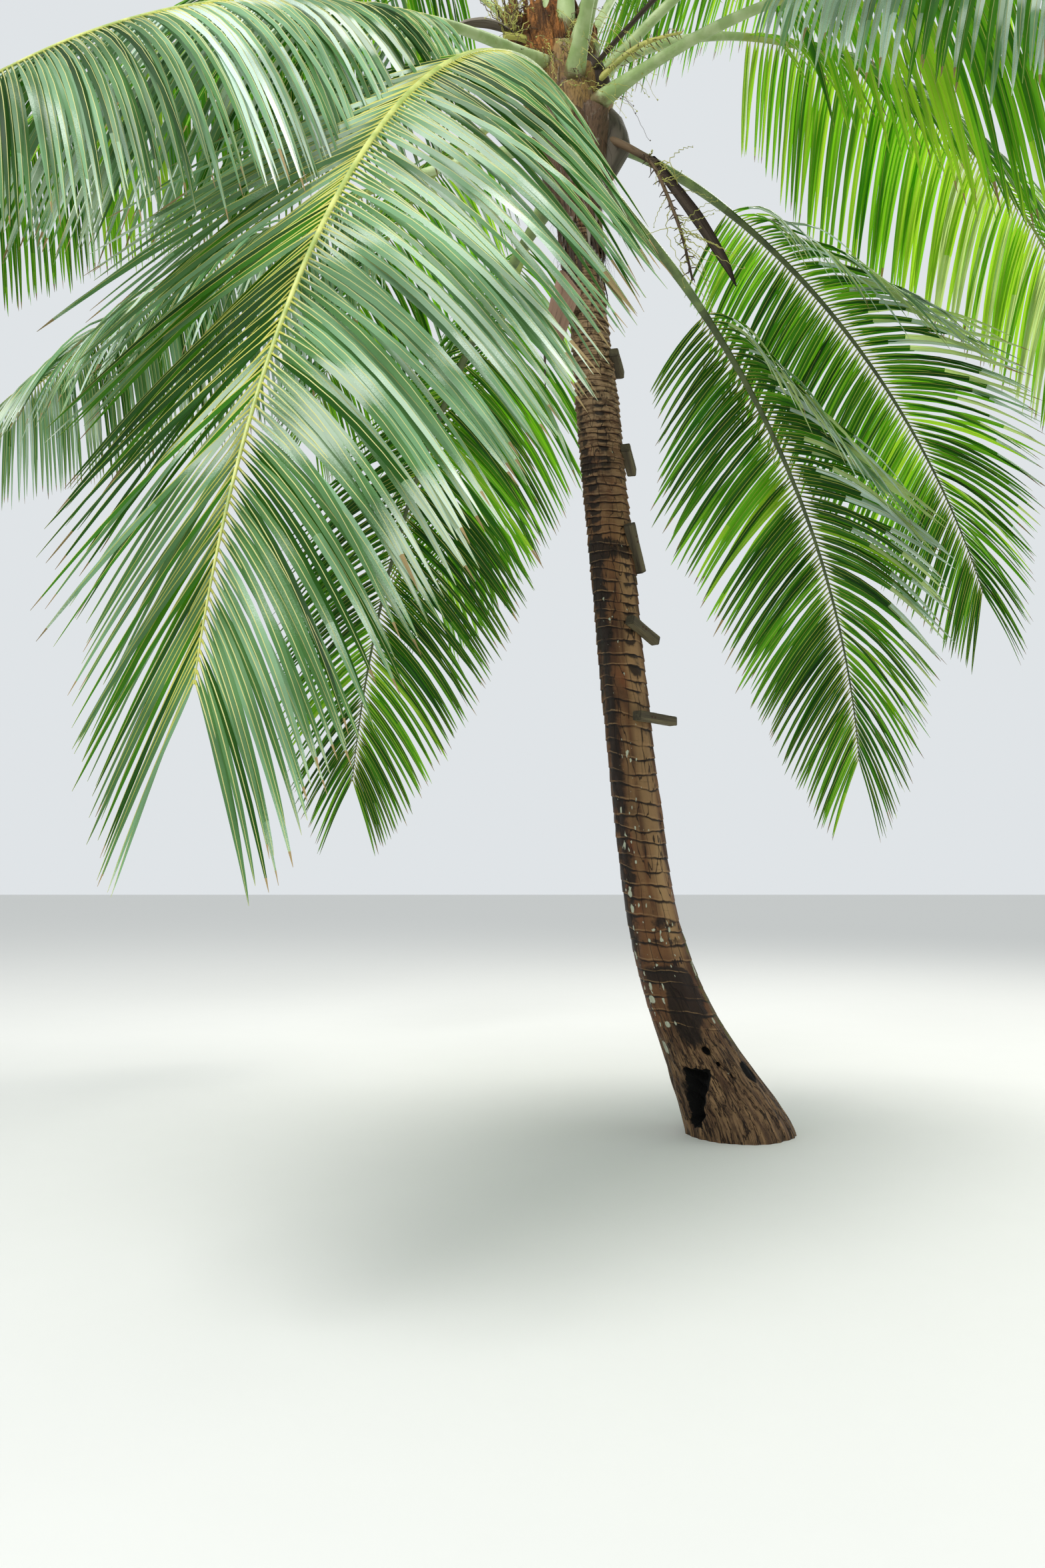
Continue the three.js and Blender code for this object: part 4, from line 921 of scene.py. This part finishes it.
def frond_pieces():
    greens = [
        leaf_finish("leaf_deep_green", "#173d0b", "#45900c", 0.28, shine=0.24),
        leaf_finish("leaf_green", "#2f6a14", "#66b312", 0.34, shine=0.24),
        leaf_finish("leaf_light_green", "#4f941a", "#84cf1c", 0.4, shine=0.24),
        leaf_finish("leaf_bright_green", "#78ab28", "#a8dd2c", 0.44, shine=0.26),
        # the last number of the next three is their share of painted glints; the near-white sheen tone stands
        # for painted reflection of the sky
        leaf_finish("leaf_grey_green", "#4d7843", "#6aa344", 0.22, 0.4, 0.45, 0.5),
        leaf_finish("leaf_glaucous", "#719a6e", "#8cbc7a", 0.2, 0.34, 0.5, 0.75),
        leaf_finish("leaf_sheen", "#b9d0bf", "#b2d2ac", 0.16, 0.28, 0.6, 0.45),
        leaf_finish("leaf_pale_green", "#b3c690", "#c6e084", 0.4),
        leaf_finish("leaf_dry_tip", "#968258", "#a8935c", 0.15, 0.7),
        leaf_finish("leaf_midrib", "#b9b858", "#c2cc5c", 0.15, 0.45),
        leaf_finish("leaf_soft_midrib", "#c3c27c", "#cdd38a", 0.15, 0.45),
        leaf_finish("leaflet_foot", "#b0b04c", "#b9c24e", 0.12, 0.5),
    ]
    stalks = [
        stalk_finish("petiole_green", "#bccb98", "#93ab6c", "#8a7348"),
        stalk_finish("rachis_yellow_green", "#c3c873", "#93a553", "#8a6c3c", 0.42),
        stalk_finish("shaded_petiole_green", "#7f9354", "#56693a", "#4d4128"),
        stalk_finish("shaded_rachis", "#5f6c3a", "#3d4a25", "#35301c"),
    ]
    ribs = Batch()
    for start in range(0, len(FRONDS), FRONDS_A_PIECE):
        end = start + FRONDS_A_PIECE
        batch = Batch()
        nodes = []
        for number in range(start, end):
            frond = FRONDS[number]
            rib = trace_rib(frond)
            # fronds with the darker look hang in shade, so their ribs get the darker, shaded finishes:
            # painted shade
            add_rib(ribs, rib, "deep" in frond["looks"])
            add_leaflets(batch, rib, frond, 1)
            add_leaflets(batch, rib, frond, -1)
            nodes += frond_nodes(number + 1)
        batch.piece(f"leaflets_{start + 1:02d}_to_{end:02d}", greens, nodes)
    ribs.piece("frond_ribs", stalks, ())


# Crown, from the source's sizes

SHEATH_TOP = TRUNK_TOP + 1.2
SPEAR_LENGTH = 2.09
SPEAR_RADIUS = 0.033
# sheets of cloth: azimuth, bottom, top, half span and how far the upper edge leans out
FLAPS = [(180, 5.72, 6.2, 42, 0.2), (224, 5.78, 6.12, 32, 0.13), (256, 5.82, 6.1, 20, 0.02),
         (304, 5.8, 6.08, 16, 0.03), (20, 5.84, 6.14, 30, 0.08), (95, 5.8, 6.15, 36, 0.09)]


def stem_radius(z):
    """The trunk's radius, and the sheath's above it."""
    blend = smooth(TRUNK_TOP - 0.12, TRUNK_TOP + 0.02, z)
    return trunk_radius(np.minimum(z, TRUNK_TOP)) * (1 - blend) + sheath_radius(z) * blend


def on_stem(angle, z, proud):
    """Points round the stem, as far off it as proud says."""
    radius = stem_radius(z) + proud
    return stacked(stem_centre(z) + radius * np.cos(angle), radius * np.sin(angle), z)


def facing(angle):
    return np.array([math.cos(angle), math.sin(angle), 0.0])


def sheath_piece():
    """The woven sheath round the heart of the crown."""
    angle = around(96)[None]
    z = np.linspace(TRUNK_TOP - 0.04, SHEATH_TOP, 84)[:, None]
    folds = 0.004 * np.cos(9 * angle + 5 * z) + 0.006 * ripple(angle, z, 40, 7, 9)
    points = on_stem(angle, z, folds - 0.004 * smooth(6.2, 6.3, z))
    batch = Batch()
    batch.sheet(points, closed=True, weave=points)
    batch.lid(points[-1], weave=points[-1])
    cloth = fibre_finish("leaf_base_cloth", "#a8672f", "#5e3a20")
    batch.piece("crown_sheath_cloth", [cloth], ["crown_sheath"])


def leaf_bases_piece():
    """Each frond's broad base, wrapped round the stem below its stalk."""
    batch = Batch()
    across = np.linspace(-1, 1, 25)[None]
    down = np.linspace(0, 1, 22)[:, None]
    order = np.argsort([frond["height"] for frond in FRONDS])
    for rank, index in enumerate(order):
        height = FRONDS[index]["height"]
        outer = len(order) - rank
        torn = 0.06 * np.sin(9 * across + index) * down + 0.03 * np.sin(23 * across + 2 * index) * down
        z = height - 0.012 - (0.1 + 0.4 * rng.uniform(0.85, 1.1)) * down + torn
        z = z + 0.06 * across ** 2 * (1 - down) ** 2
        angle = radians(FRONDS[index]["azimuth"]) + across * radians(24 + 58 * down ** 0.6)
        proud = (0.011 + 0.0012 * outer + 0.06 * (1 - down) ** 4 * (1 - across ** 2)
                 - 0.008 * across ** 4 + 0.003 * np.sin(across * 31 + down * 4))
        old = 0.3 if height < 5.55 else 0.05
        age = np.clip(old + 0.75 * down + 0.35 * across ** 2 + 0.012 * outer, 0, 1)
        for layer, turn in ((0.0, -1), (-0.006, 1)):
            points = on_stem(angle, z, proud + layer)
            batch.sheet(points, turn=turn, weave=points, age=age)
    batch.piece("frond_bases", [leaf_base_finish()], ())


def add_ribbon(batch, path, widths, face, finish, curl):
    """A thin strip along a path, turned to face a direction, its edges curled up."""
    run = path_run(path)
    across = unit(np.cross(run, face))
    widths = spaced(widths, len(path))[:, None]
    lift = unit(np.cross(across, run)) * widths * curl
    points = np.stack([path + across * widths / 2 + lift, path, path - across * widths / 2 + lift], 1)
    share = np.broadcast_to(np.linspace(0, 1, len(path))[:, None], points.shape[:2])
    grain = stacked(share * np.linalg.norm(path[-1] - path[0]), [[0.0, 0.01, 0.02]], 0.0)
    batch.sheet(points, finish, grain=grain, weave=points, tip=share ** 3)


def shreds_piece(cloth, dark, grey):
    """Loose fibres and grey strips that hang round the crown and the neck below it."""
    batch = Batch()
    t = np.linspace(0, 1, 6)
    for _ in range(620):
        z = rng.uniform(4.75, 6.15)
        angle = rng.uniform(0, 2 * math.pi)
        length = rng.uniform(0.05, 0.24)
        out = 0.012 + rng.uniform(0.004, 0.05) * np.sin(t * 2.2) + rng.uniform(0, 0.03) * t
        swing = angle + rng.normal(0, 0.12) * t + 0.03 * np.sin(t * 9 + angle * 7)
        path = on_stem(swing, z - length * t, out)
        finish = int(rng.choice(3, p=[0.45, 0.35, 0.2]))
        add_ribbon(batch, path, [0.003, 0.003, 0.0008], facing(angle), finish, 0.3)
    t = np.linspace(0, 1, 10)
    for _ in range(70):
        z = rng.uniform(4.75, 5.3)
        angle = rng.uniform(0, 2 * math.pi)
        length = rng.uniform(0.16, 0.42)
        swing = angle + rng.normal(0, 0.12) * t
        path = on_stem(swing, z - length * t, 0.012 + 0.012 * np.sin(t * 5 + angle) ** 2 + 0.01 * t)
        wide = rng.uniform(0.012, 0.036)
        finish = int(rng.integers(1, 3))
        add_ribbon(batch, path, [wide, wide, wide * 0.6, wide * 0.15], facing(angle), finish, 0.15)
    batch.piece("hanging_fibres", [cloth, dark, grey], ())


def spear_piece(finish):
    """The newest leaf, its leaflets still pressed together in long pleats."""
    share = np.linspace(0, 1, 60)[:, None]
    angle = around(36)[None]
    z = SHEATH_TOP + share * SPEAR_LENGTH
    radius = SPEAR_RADIUS * np.interp(share, [0, 0.25, 0.6, 1], [0.75, 1, 0.68, 0.05])
    pleats = 1 + 0.13 * np.cos(9 * angle + 2.5 * share) + 0.05 * np.cos(4 * angle + 40 * share)
    points = stacked(stem_centre(z) + radius * pleats * np.cos(angle), radius * pleats * np.sin(angle), z)
    batch = Batch()
    batch.sheet(points, closed=True)
    batch.lid(points[-1])
    batch.piece("folded_spear_leaf", [finish], ["spear_leaf"])


def add_pouch(batch, azimuth, top, bottom, half_span, proud, finish):
    """A convex shield that hugs the stem, pointed below."""
    across = np.linspace(-1, 1, 25)[None]
    down = np.linspace(0, 1, 28)[:, None]
    span = radians(half_span) * np.interp(down, [0, 0.3, 0.7, 1], [0.8, 1, 0.75, 0.18])
    z = top + (bottom - top) * down + 0.03 * across ** 2 * (1 - down) - 0.02 * np.sin(across * 5) * down
    bulge = np.interp(down, [0, 0.15, 0.45, 0.75, 1], [0.35, 0.8, 1, 0.5, 0]) * (1 - across ** 2) ** 0.8
    points = on_stem(radians(azimuth) + across * span, z,
                     0.012 + proud * bulge + 0.002 * np.sin(across * 40 + down * 3))
    grain = stacked(down * (top - bottom), across * span * 0.15, 0.0)
    batch.sheet(points, finish, turn=-1, grain=grain, weave=points, tip=np.broadcast_to(down ** 3, z.shape))


def pouches_piece(dark, grey):
    """Dark roots of old flower sheaths, and the broad grey foot of frond 6, round the neck."""
    batch = Batch()
    add_pouch(batch, 336, 5.84, 5.54, 30, 0.075, 0)
    add_pouch(batch, 12, 5.6, 5.12, 40, 0.16, 1)
    add_pouch(batch, 196, 5.7, 5.44, 26, 0.05, 0)
    batch.piece("sheath_roots", [dark, grey], ())


def cloth_flaps_piece(cloth):
    """Sheets of brown cloth that old leaf bases left between the stalks, ragged at the top."""
    batch = Batch()
    across = np.linspace(-1, 1, 31)[None]
    up = np.linspace(0, 1, 26)[:, None]
    for azimuth, bottom, top, half_span, lean in FLAPS:
        torn = 0.03 * np.sin(across * 17 + azimuth) + 0.05 * np.sin(across * 6 + azimuth)
        z = bottom + (top - bottom + torn) * up * (1 - 0.35 * across ** 2)
        angle = radians(azimuth) + across * radians(half_span) * (1 - 0.25 * up)
        folds = 0.008 * np.sin(across * 23 + azimuth + up * 4) + 0.005 * np.sin(across * 51 + up * 9)
        for layer, turn in ((0.0, 1), (-0.005, -1)):
            points = on_stem(angle, z, 0.02 + lean * up ** 0.8 * (1 - 0.5 * across ** 2) + folds + layer)
            batch.sheet(points, turn=turn, weave=points)
    batch.piece("cloth_flaps", [cloth], ())


def board_piece(finish, grey):
    """A dead leaf's base that hangs by the neck, its lower end torn, with strips under it."""
    batch = Batch()
    level = np.linspace(0, 1, 36)[:, None]
    across = np.linspace(0, 1, 15)[None]
    z = 4.6 - 0.41 * level + 0.012 * np.sin(across * 21) * level
    left = np.interp(z, [4.18, 4.27, 4.45, 4.61], [-0.985, -1.037, -0.998, -0.95])
    right = np.interp(z, [4.18, 4.31, 4.48, 4.61], [-0.945, -0.9, -0.833, -0.93])
    x = left + (right - left) * across
    bow = 0.016 * np.sin(across * math.pi) + 0.004 * np.sin(across * 40)
    tip = np.broadcast_to(0.6 * level ** 4, z.shape)
    for y, turn in ((-0.125, 1), (-0.108, -1)):
        batch.sheet(stacked(x, y - bow, z), turn=turn, grain=stacked(z, across * 0.14, 0.0), tip=tip)
    add_tube(batch, [[-0.9, -0.095, 4.56], [-0.915, -0.105, 4.44], [-0.93, -0.11, 4.3]],
             [0.012, 0.008], 8, 1)
    front = (0.2, -1, 0)
    strip = [[-1.015, -0.114, 4.36], [-1.03, -0.125, 4.15], [-1.028, -0.13, 3.945]]
    add_ribbon(batch, fine_path(strip, 14), [0.026, 0.02, 0.012, 0.004], front, 1, 0.4)
    strip = [[-0.95, -0.12, 4.24], [-0.955, -0.12, 4.15], [-0.95, -0.115, 4.06]]
    add_ribbon(batch, fine_path(strip, 8), [0.012, 0.008, 0.003], front, 1, 0.4)
    batch.piece("hanging_leaf_board", [finish, grey], ["hanging_leaf_base"])


# Flower stalks, their dry sheaths and threads

THREAD_POINTS = 16
STUB_POINTS = 60
HUSK_POINTS = 40


def add_bud(batch, at, size, finish):
    corners = np.array([[1, 0, 0], [-1, 0, 0], [0, 1, 0], [0, -1, 0], [0, 0, 1.4], [0, 0, -1.4]]) * size
    faces = [[0, 2, 4], [2, 1, 4], [1, 3, 4], [3, 0, 4], [2, 0, 5], [1, 2, 5], [3, 1, 5], [0, 3, 5]]
    batch.add(at + corners, faces, finish, grain=corners, weave=at + corners)


def add_thread(batch, start, aim, length, radius, droop, finish, buds):
    """A wiry flower branch that zigzags and sags, with small buds."""
    t = np.linspace(0, 1, THREAD_POINTS)[:, None]
    aim = unit(np.asarray(aim, float))
    side = unit(np.cross(aim, [0.3, 0.2, 0.9]))
    other = np.cross(aim, side)
    zig = np.where(np.arange(THREAD_POINTS) % 2, 1, -1)[:, None] * min(0.007, 0.02 * length)
    sway = side * (zig + rng.normal(0, 0.03) * np.sin(t * 5)) + other * rng.normal(0, 0.03) * np.sin(t * 4)
    path = np.asarray(start, float) + aim * t * length - UP * droop * t ** 2 * length + sway
    path[0] = start
    add_tube(batch, path, [radius, radius * 0.45], 5, finish)
    for index in np.linspace(2, THREAD_POINTS - 1, buds).astype(int):
        add_bud(batch, path[index] + rng.normal(0, 0.003, 3), rng.uniform(0.003, 0.0055), finish)


def add_stubs(batch, path, every, length, radius, finish):
    """Short dry stubs all round a spent flower branch."""
    path = fine_path(path, STUB_POINTS)
    run, flat, high = path_axes(path)
    total = np.linalg.norm(np.diff(path, axis=0), axis=1).sum()
    count = int(total / every)
    for index in range(count):
        k = min(STUB_POINTS - 1, int((index + 0.5) / count * STUB_POINTS))
        turn = index * 2.4 + rng.uniform(-0.3, 0.3)
        out = flat[k] * math.cos(turn) + high[k] * math.sin(turn) + run[k] * 0.4
        reach = length * rng.uniform(0.6, 1.15)
        tip = path[k] + out * reach
        bend = path[k] + out * reach * 0.55 + rng.normal(0, 0.003, 3)
        add_tube(batch, [path[k], bend, tip], [radius, radius * 0.8, radius * 0.35], 5, finish)


def add_husk(batch, path, half_widths, depth, finish, opening):
    """A dry boat shaped sheath: a thin grooved shell, open along one side."""
    path = fine_path(path, HUSK_POINTS)
    run = path_run(path)
    flat = unit(np.cross(run, opening))
    back = np.cross(flat, run)
    half = spaced(half_widths, HUSK_POINTS)
    sweep = np.linspace(-1.25, 1.25, 19)[None]
    groove = 1 + 0.05 * np.cos(sweep * 13)
    share = np.linspace(0, 1, HUSK_POINTS)[:, None]
    for inset, turn in ((0.0, 1), (0.0035, -1)):
        reach = np.maximum(half - inset, 0.0015)[:, None]
        points = (path[:, None] + (reach * np.sin(sweep) * groove)[..., None] * flat[:, None]
                  - (reach * depth * np.cos(sweep) * groove)[..., None] * back[:, None])
        batch.sheet(points, finish, turn=turn, grain=stacked(share * 0.5, sweep * 0.05, 0.0),
                    weave=points, tip=np.broadcast_to(share ** 4, points.shape[:2]))


def spent_flower_piece(dry, dark, pale):
    batch = Batch()
    stalk = [[-0.80, -0.02, 5.43], [-0.64, -0.06, 5.37], [-0.42, -0.12, 5.21]]
    husk = [[-0.45, -0.115, 5.24], [-0.42, -0.12, 5.2], [-0.22, -0.18, 4.88], [-0.08, -0.2, 4.63],
            [-0.01, -0.2, 4.48]]
    branch = [[-0.48, -0.105, 5.255], [-0.43, -0.16, 5.15], [-0.36, -0.22, 4.93], [-0.3, -0.24, 4.73],
              [-0.25, -0.25, 4.49]]
    add_tube(batch, fine_path(stalk, 14), [0.026, 0.022, 0.018], 10, 0)
    add_husk(batch, husk, [0.016, 0.026, 0.038, 0.028, 0.004], 0.6, 1, (-0.5, -0.8, -0.3))
    add_tube(batch, fine_path(branch, 24), [0.012, 0.010, 0.006], 8, 0)
    add_stubs(batch, branch, 0.017, 0.05, 0.004, 0)
    for _ in range(26):
        start = fine_path(branch, 30)[rng.integers(2, 27)]
        aim = [rng.uniform(-0.4, 0.9), rng.uniform(-0.5, 0.3), rng.uniform(-0.7, 0.4)]
        add_thread(batch, start, aim, rng.uniform(0.12, 0.34), 0.0028, 0.35, 2, 3)
    batch.piece("spent_flower", [dry, dark, pale], ["spent_flower_right"])


def flower_stalk_piece(pale, dry):
    batch = Batch()
    stalk = [[-0.85, -0.06, 5.6], [-0.735, -0.12, 5.68], [-0.62, -0.17, 5.765], [-0.52, -0.2, 5.82],
             [-0.42, -0.22, 5.85], [-0.29, -0.24, 5.87]]
    add_tube(batch, fine_path(stalk, 26), [0.020, 0.018, 0.014, 0.006], 10, 0)
    add_stubs(batch, stalk[2:], 0.012, 0.05, 0.0035, 1)
    for _ in range(14):
        start = fine_path(stalk, 30)[rng.integers(8, 29)]
        aim = [rng.uniform(0.1, 0.9), rng.uniform(-0.5, 0.3), rng.uniform(-0.6, 0.6)]
        add_thread(batch, start, aim, rng.uniform(0.08, 0.2), 0.0022, 0.4, 0, 3)
    batch.piece("flower_stalk", [pale, dry], ["flower_stalk_right"])


def dark_sheath_piece(dark):
    batch = Batch()
    path = [[-0.86, -0.06, 5.68], [-0.78, -0.14, 5.74], [-0.68, -0.21, 5.83], [-0.54, -0.26, 5.96],
            [-0.41, -0.3, 6.08], [-0.25, -0.35, 6.26], [-0.12, -0.39, 6.43]]
    add_husk(batch, path, [0.026, 0.032, 0.035, 0.035, 0.033, 0.022, 0.003], 0.85, 0, (-0.4, -0.3, 0.8))
    add_stubs(batch, path[3:], 0.03, 0.03, 0.003, 0)
    batch.piece("dark_flower_sheath", [dark], ["dark_sheath_right"])


def flower_cluster_piece(pale, grey, dry):
    batch = Batch()
    stalk = np.array([[-0.99, -0.04, 5.86], [-1.13, -0.11, 5.92], [-1.25, -0.17, 5.905]])
    boat = [[-1.2, -0.15, 5.92], [-1.31, -0.2, 5.925], [-1.43, -0.25, 5.9], [-1.555, -0.298, 5.84]]
    add_tube(batch, fine_path(stalk, 14), [0.024, 0.020, 0.018], 10, 0)
    add_husk(batch, boat, [0.016, 0.042, 0.05, 0.036, 0.004], 0.75, 1, (0.1, 0.2, -1.0))
    for index in range(44):
        lean = rng.uniform(-0.75, 0.75)
        start = stalk[2] + (stalk[1] - stalk[2]) * rng.uniform(0, 0.7)
        aim = [math.sin(lean), rng.uniform(-0.4, 0.1), math.cos(lean)]
        finish = 0 if index % 3 else 2
        add_thread(batch, start, aim, rng.uniform(0.24, 0.42), 0.0031, 0.12, finish, 4)
    batch.piece("flower_cluster", [pale, grey, dry], ["flower_cluster_left"])


def flower_threads_piece(pale, dry):
    batch = Batch()
    for _ in range(64):
        angle = radians(rng.uniform(185, 345))
        start = on_stem(angle, rng.uniform(5.55, 6.1), 0.02)
        aim = [math.cos(angle) + rng.normal(0, 0.5), math.sin(angle), rng.uniform(-0.8, 0.9)]
        add_thread(batch, start, aim, rng.uniform(0.2, 0.5), 0.0019, 0.6, int(rng.random() < 0.3), 4)
    batch.piece("wiry_flower_threads", [pale, dry], ())


# Climbing steps: height, azimuth, push, slope, length

STEPS = [(2.18, -40, 0.05, 0, 0.35), (2.655, -40, 0.02, -18, 0.26), (3.137, -35, 0.045, -64, 0.27),
         (3.628, -15, 0.06, -20, 0.22), (4.156, -15, 0.045, -15, 0.2)]
BATTEN = 0.05
SUNK = 0.004                        # how deep a batten sits in the bark
NAIL_OUT = 0.0245                   # from the batten's middle to its nails' heads
NAIL_PLACES = (-0.016, 0.013)
CORNERS = np.array([(-1, -1), (1, -1), (1, 1), (-1, 1)], float)
SIDE_PLACES = (0.035, 0.12, 0.35, 0.65, 0.88, 0.965)


def add_batten(batch, centre, run, out, length, seed):
    """Sawn wood with softened edges and worn ends."""
    high = np.cross(run, out)
    own = np.random.default_rng(seed)
    s = np.concatenate([[0, 0.006, 0.02], np.linspace(0.06, 0.94, 26), [0.98, 0.994, 1]])
    edge = np.array([a + (b - a) * t for a, b in zip(CORNERS, np.roll(CORNERS, -1, axis=0))
                     for t in SIDE_PLACES])
    edge *= (1 - 0.05 * (np.abs(edge).min(1) > 0.9))[:, None]
    from_end = np.minimum(s, 1 - s)
    worn = 1 - 0.06 * np.exp(-from_end / 0.01)
    noise = (1 + 0.018 * own.normal(0, 1, (len(s), len(edge))) * 0.6
             + 0.02 * np.sin(s[:, None] * 7 + edge[None, :, 0] * 3 + seed))
    shape = edge[None] * (worn[:, None] * noise)[..., None]
    points = (centre + (s[:, None, None] - 0.5) * length * run
              + shape[..., :1] * BATTEN / 2 * out + shape[..., 1:] * BATTEN / 2 * high)
    grain = stacked(s[:, None] * length + seed, shape[..., 0] * BATTEN, shape[..., 1] * BATTEN)
    tip = np.broadcast_to(np.exp(-from_end * length / 0.012)[:, None], shape.shape[:2])
    batch.sheet(points, 0, True, -1, grain=grain, tip=tip)
    for row, turn in ((0, 1), (-1, -1)):
        ring = grain[row] * (0.2, 1, 1)
        batch.fan(points[row], points[row].mean(0), 0, turn,
                  grain=np.vstack([ring, ring.mean(0)]), tip=np.full(len(ring) + 1, 0.7))


def add_nail(batch, at, out):
    """A rusty nail head, slightly proud of the wood."""
    path = np.array([at - out * 0.004, at + out * 0.0015, at + out * 0.003])
    add_tube(batch, path, [0.0055, 0.0055, 0.004], 10, 1)


def steps_pieces(wood, rust):
    for index, (height, azimuth, push, slope, length) in enumerate(STEPS):
        out = facing(math.radians(azimuth))
        run = np.array([-out[1], out[0], 0.0]) * math.cos(math.radians(slope))
        run = run + UP * math.sin(math.radians(slope))
        middle = np.array([stem_centre(height), 0, height])
        away = trunk_radius(height) + BATTEN / 2 - SUNK
        batch = Batch()
        add_batten(batch, middle + out * away + run * push, run, out, length, index + 3)
        for shift in NAIL_PLACES:
            add_nail(batch, middle + out * (away + NAIL_OUT) + run * shift, out)
        batch.piece(f"sawn_batten_{index + 1}", [wood, rust], [f"climbing_step_{index + 1}"])


def small_pieces():
    """Everything but the stem and the fronds, with the finishes that its pieces share."""
    cloth = fibre_finish("loose_fibre", "#9a6433", "#5d3d24", 2.0)
    dark = grained_finish("dark_fibre", "#3f342c", "#2a221d", "#191310", 0.1, 0.85)
    grey = grained_finish("grey_husk", "#8c8478", "#665c52", "#3e362f", 0.07)
    dry = grained_finish("dry_brown_stalk", "#6e5a45", "#4c3d31", "#2b211a", 0.08)
    shell = grained_finish("dark_husk", "#50443b", "#392f29", "#1d1815", 0.06)
    flap = fibre_finish("rust_brown_cloth", "#ad7440", "#624329")
    foot = grained_finish("grey_brown_husk", "#6d6459", "#4c443c", "#2b2520", 0.06)
    board = grained_finish("pinkish_leaf_board", "#967867", "#7a604f", "#46342a", 0.05)
    wood = grained_finish("weathered_sawn_wood", "#6b6248", "#4b4334", "#2a251c", 0.06, 0.8, 0.8)
    rust = grained_finish("rusty_nail", "#5d3a28", "#3c261b", "#22150f", 1.0, 0.7)
    pale = stalk_finish("pale_flower_stalk", "#bdb862", "#95984c", "#7a6434", 0.55)
    spear = stalk_finish("spear_leaf_green", "#b9c978", "#93ad5a", "#8a7a44", 0.45)
    sheath_piece()
    leaf_bases_piece()
    shreds_piece(cloth, dark, grey)
    spear_piece(spear)
    spent_flower_piece(dry, shell, pale)
    flower_stalk_piece(pale, dry)
    dark_sheath_piece(shell)
    flower_cluster_piece(pale, grey, dry)
    flower_threads_piece(pale, dry)
    pouches_piece(shell, foot)
    cloth_flaps_piece(flap)
    board_piece(board, shell)
    steps_pieces(wood, rust)


# Light, floor and camera

EYE = (-1.15, -6.5, 1.38)
TILT_UP = 4
FLOOR_REACH = 60


def place_light(name, location, target, size, power, colour):
    data = bpy.data.lights.new(name, "AREA")
    data.shape = "DISK"
    data.size = size
    data.energy = power
    data.color = colour
    light = into_scene(name, data)
    aim = np.array(target, float) - np.array(location, float)
    yaw = math.atan2(aim[1], aim[0]) - math.pi / 2
    pitch = math.atan2(aim[2], math.hypot(aim[0], aim[1])) + math.pi / 2
    light.location = location
    light.rotation_euler = (pitch, 0, yaw)


def surroundings():
    world = bpy.data.worlds.new("studio")
    bpy.context.scene.world = world
    world.use_nodes = True
    back = world.node_tree.nodes["Background"]
    back.inputs[0].default_value = (0.93, 0.97, 1.0, 1.0)
    back.inputs[1].default_value = 0.8
    place_light("high_back_light", (4.0, 5.0, 12), (-0.8, 0, 4.5), 6, 1100, (1, 0.98, 0.93))
    place_light("front_light", (-4, -8, 10), (-0.8, -1, 4.5), 5, 900, (1, 1, 1))
    floor = bpy.data.meshes.new("floor")
    floor.from_pydata([(FLOOR_REACH * x, FLOOR_REACH * y, 0) for x, y in CORNERS], [], [(0, 1, 2, 3)])
    floor.materials.append(floor_finish())
    made = into_scene("floor", floor)
    lens = bpy.data.cameras.new("camera")
    lens.sensor_fit = "VERTICAL"
    lens.sensor_height = 36
    lens.lens = 28
    camera = into_scene("camera", lens)
    camera.location = EYE
    camera.rotation_euler = (math.radians(90 + TILT_UP), 0, 0)
    bpy.context.scene.camera = camera
    bpy.context.scene.view_settings.view_transform = "Standard"


surroundings()
trunk_piece()
frond_pieces()
small_pieces()
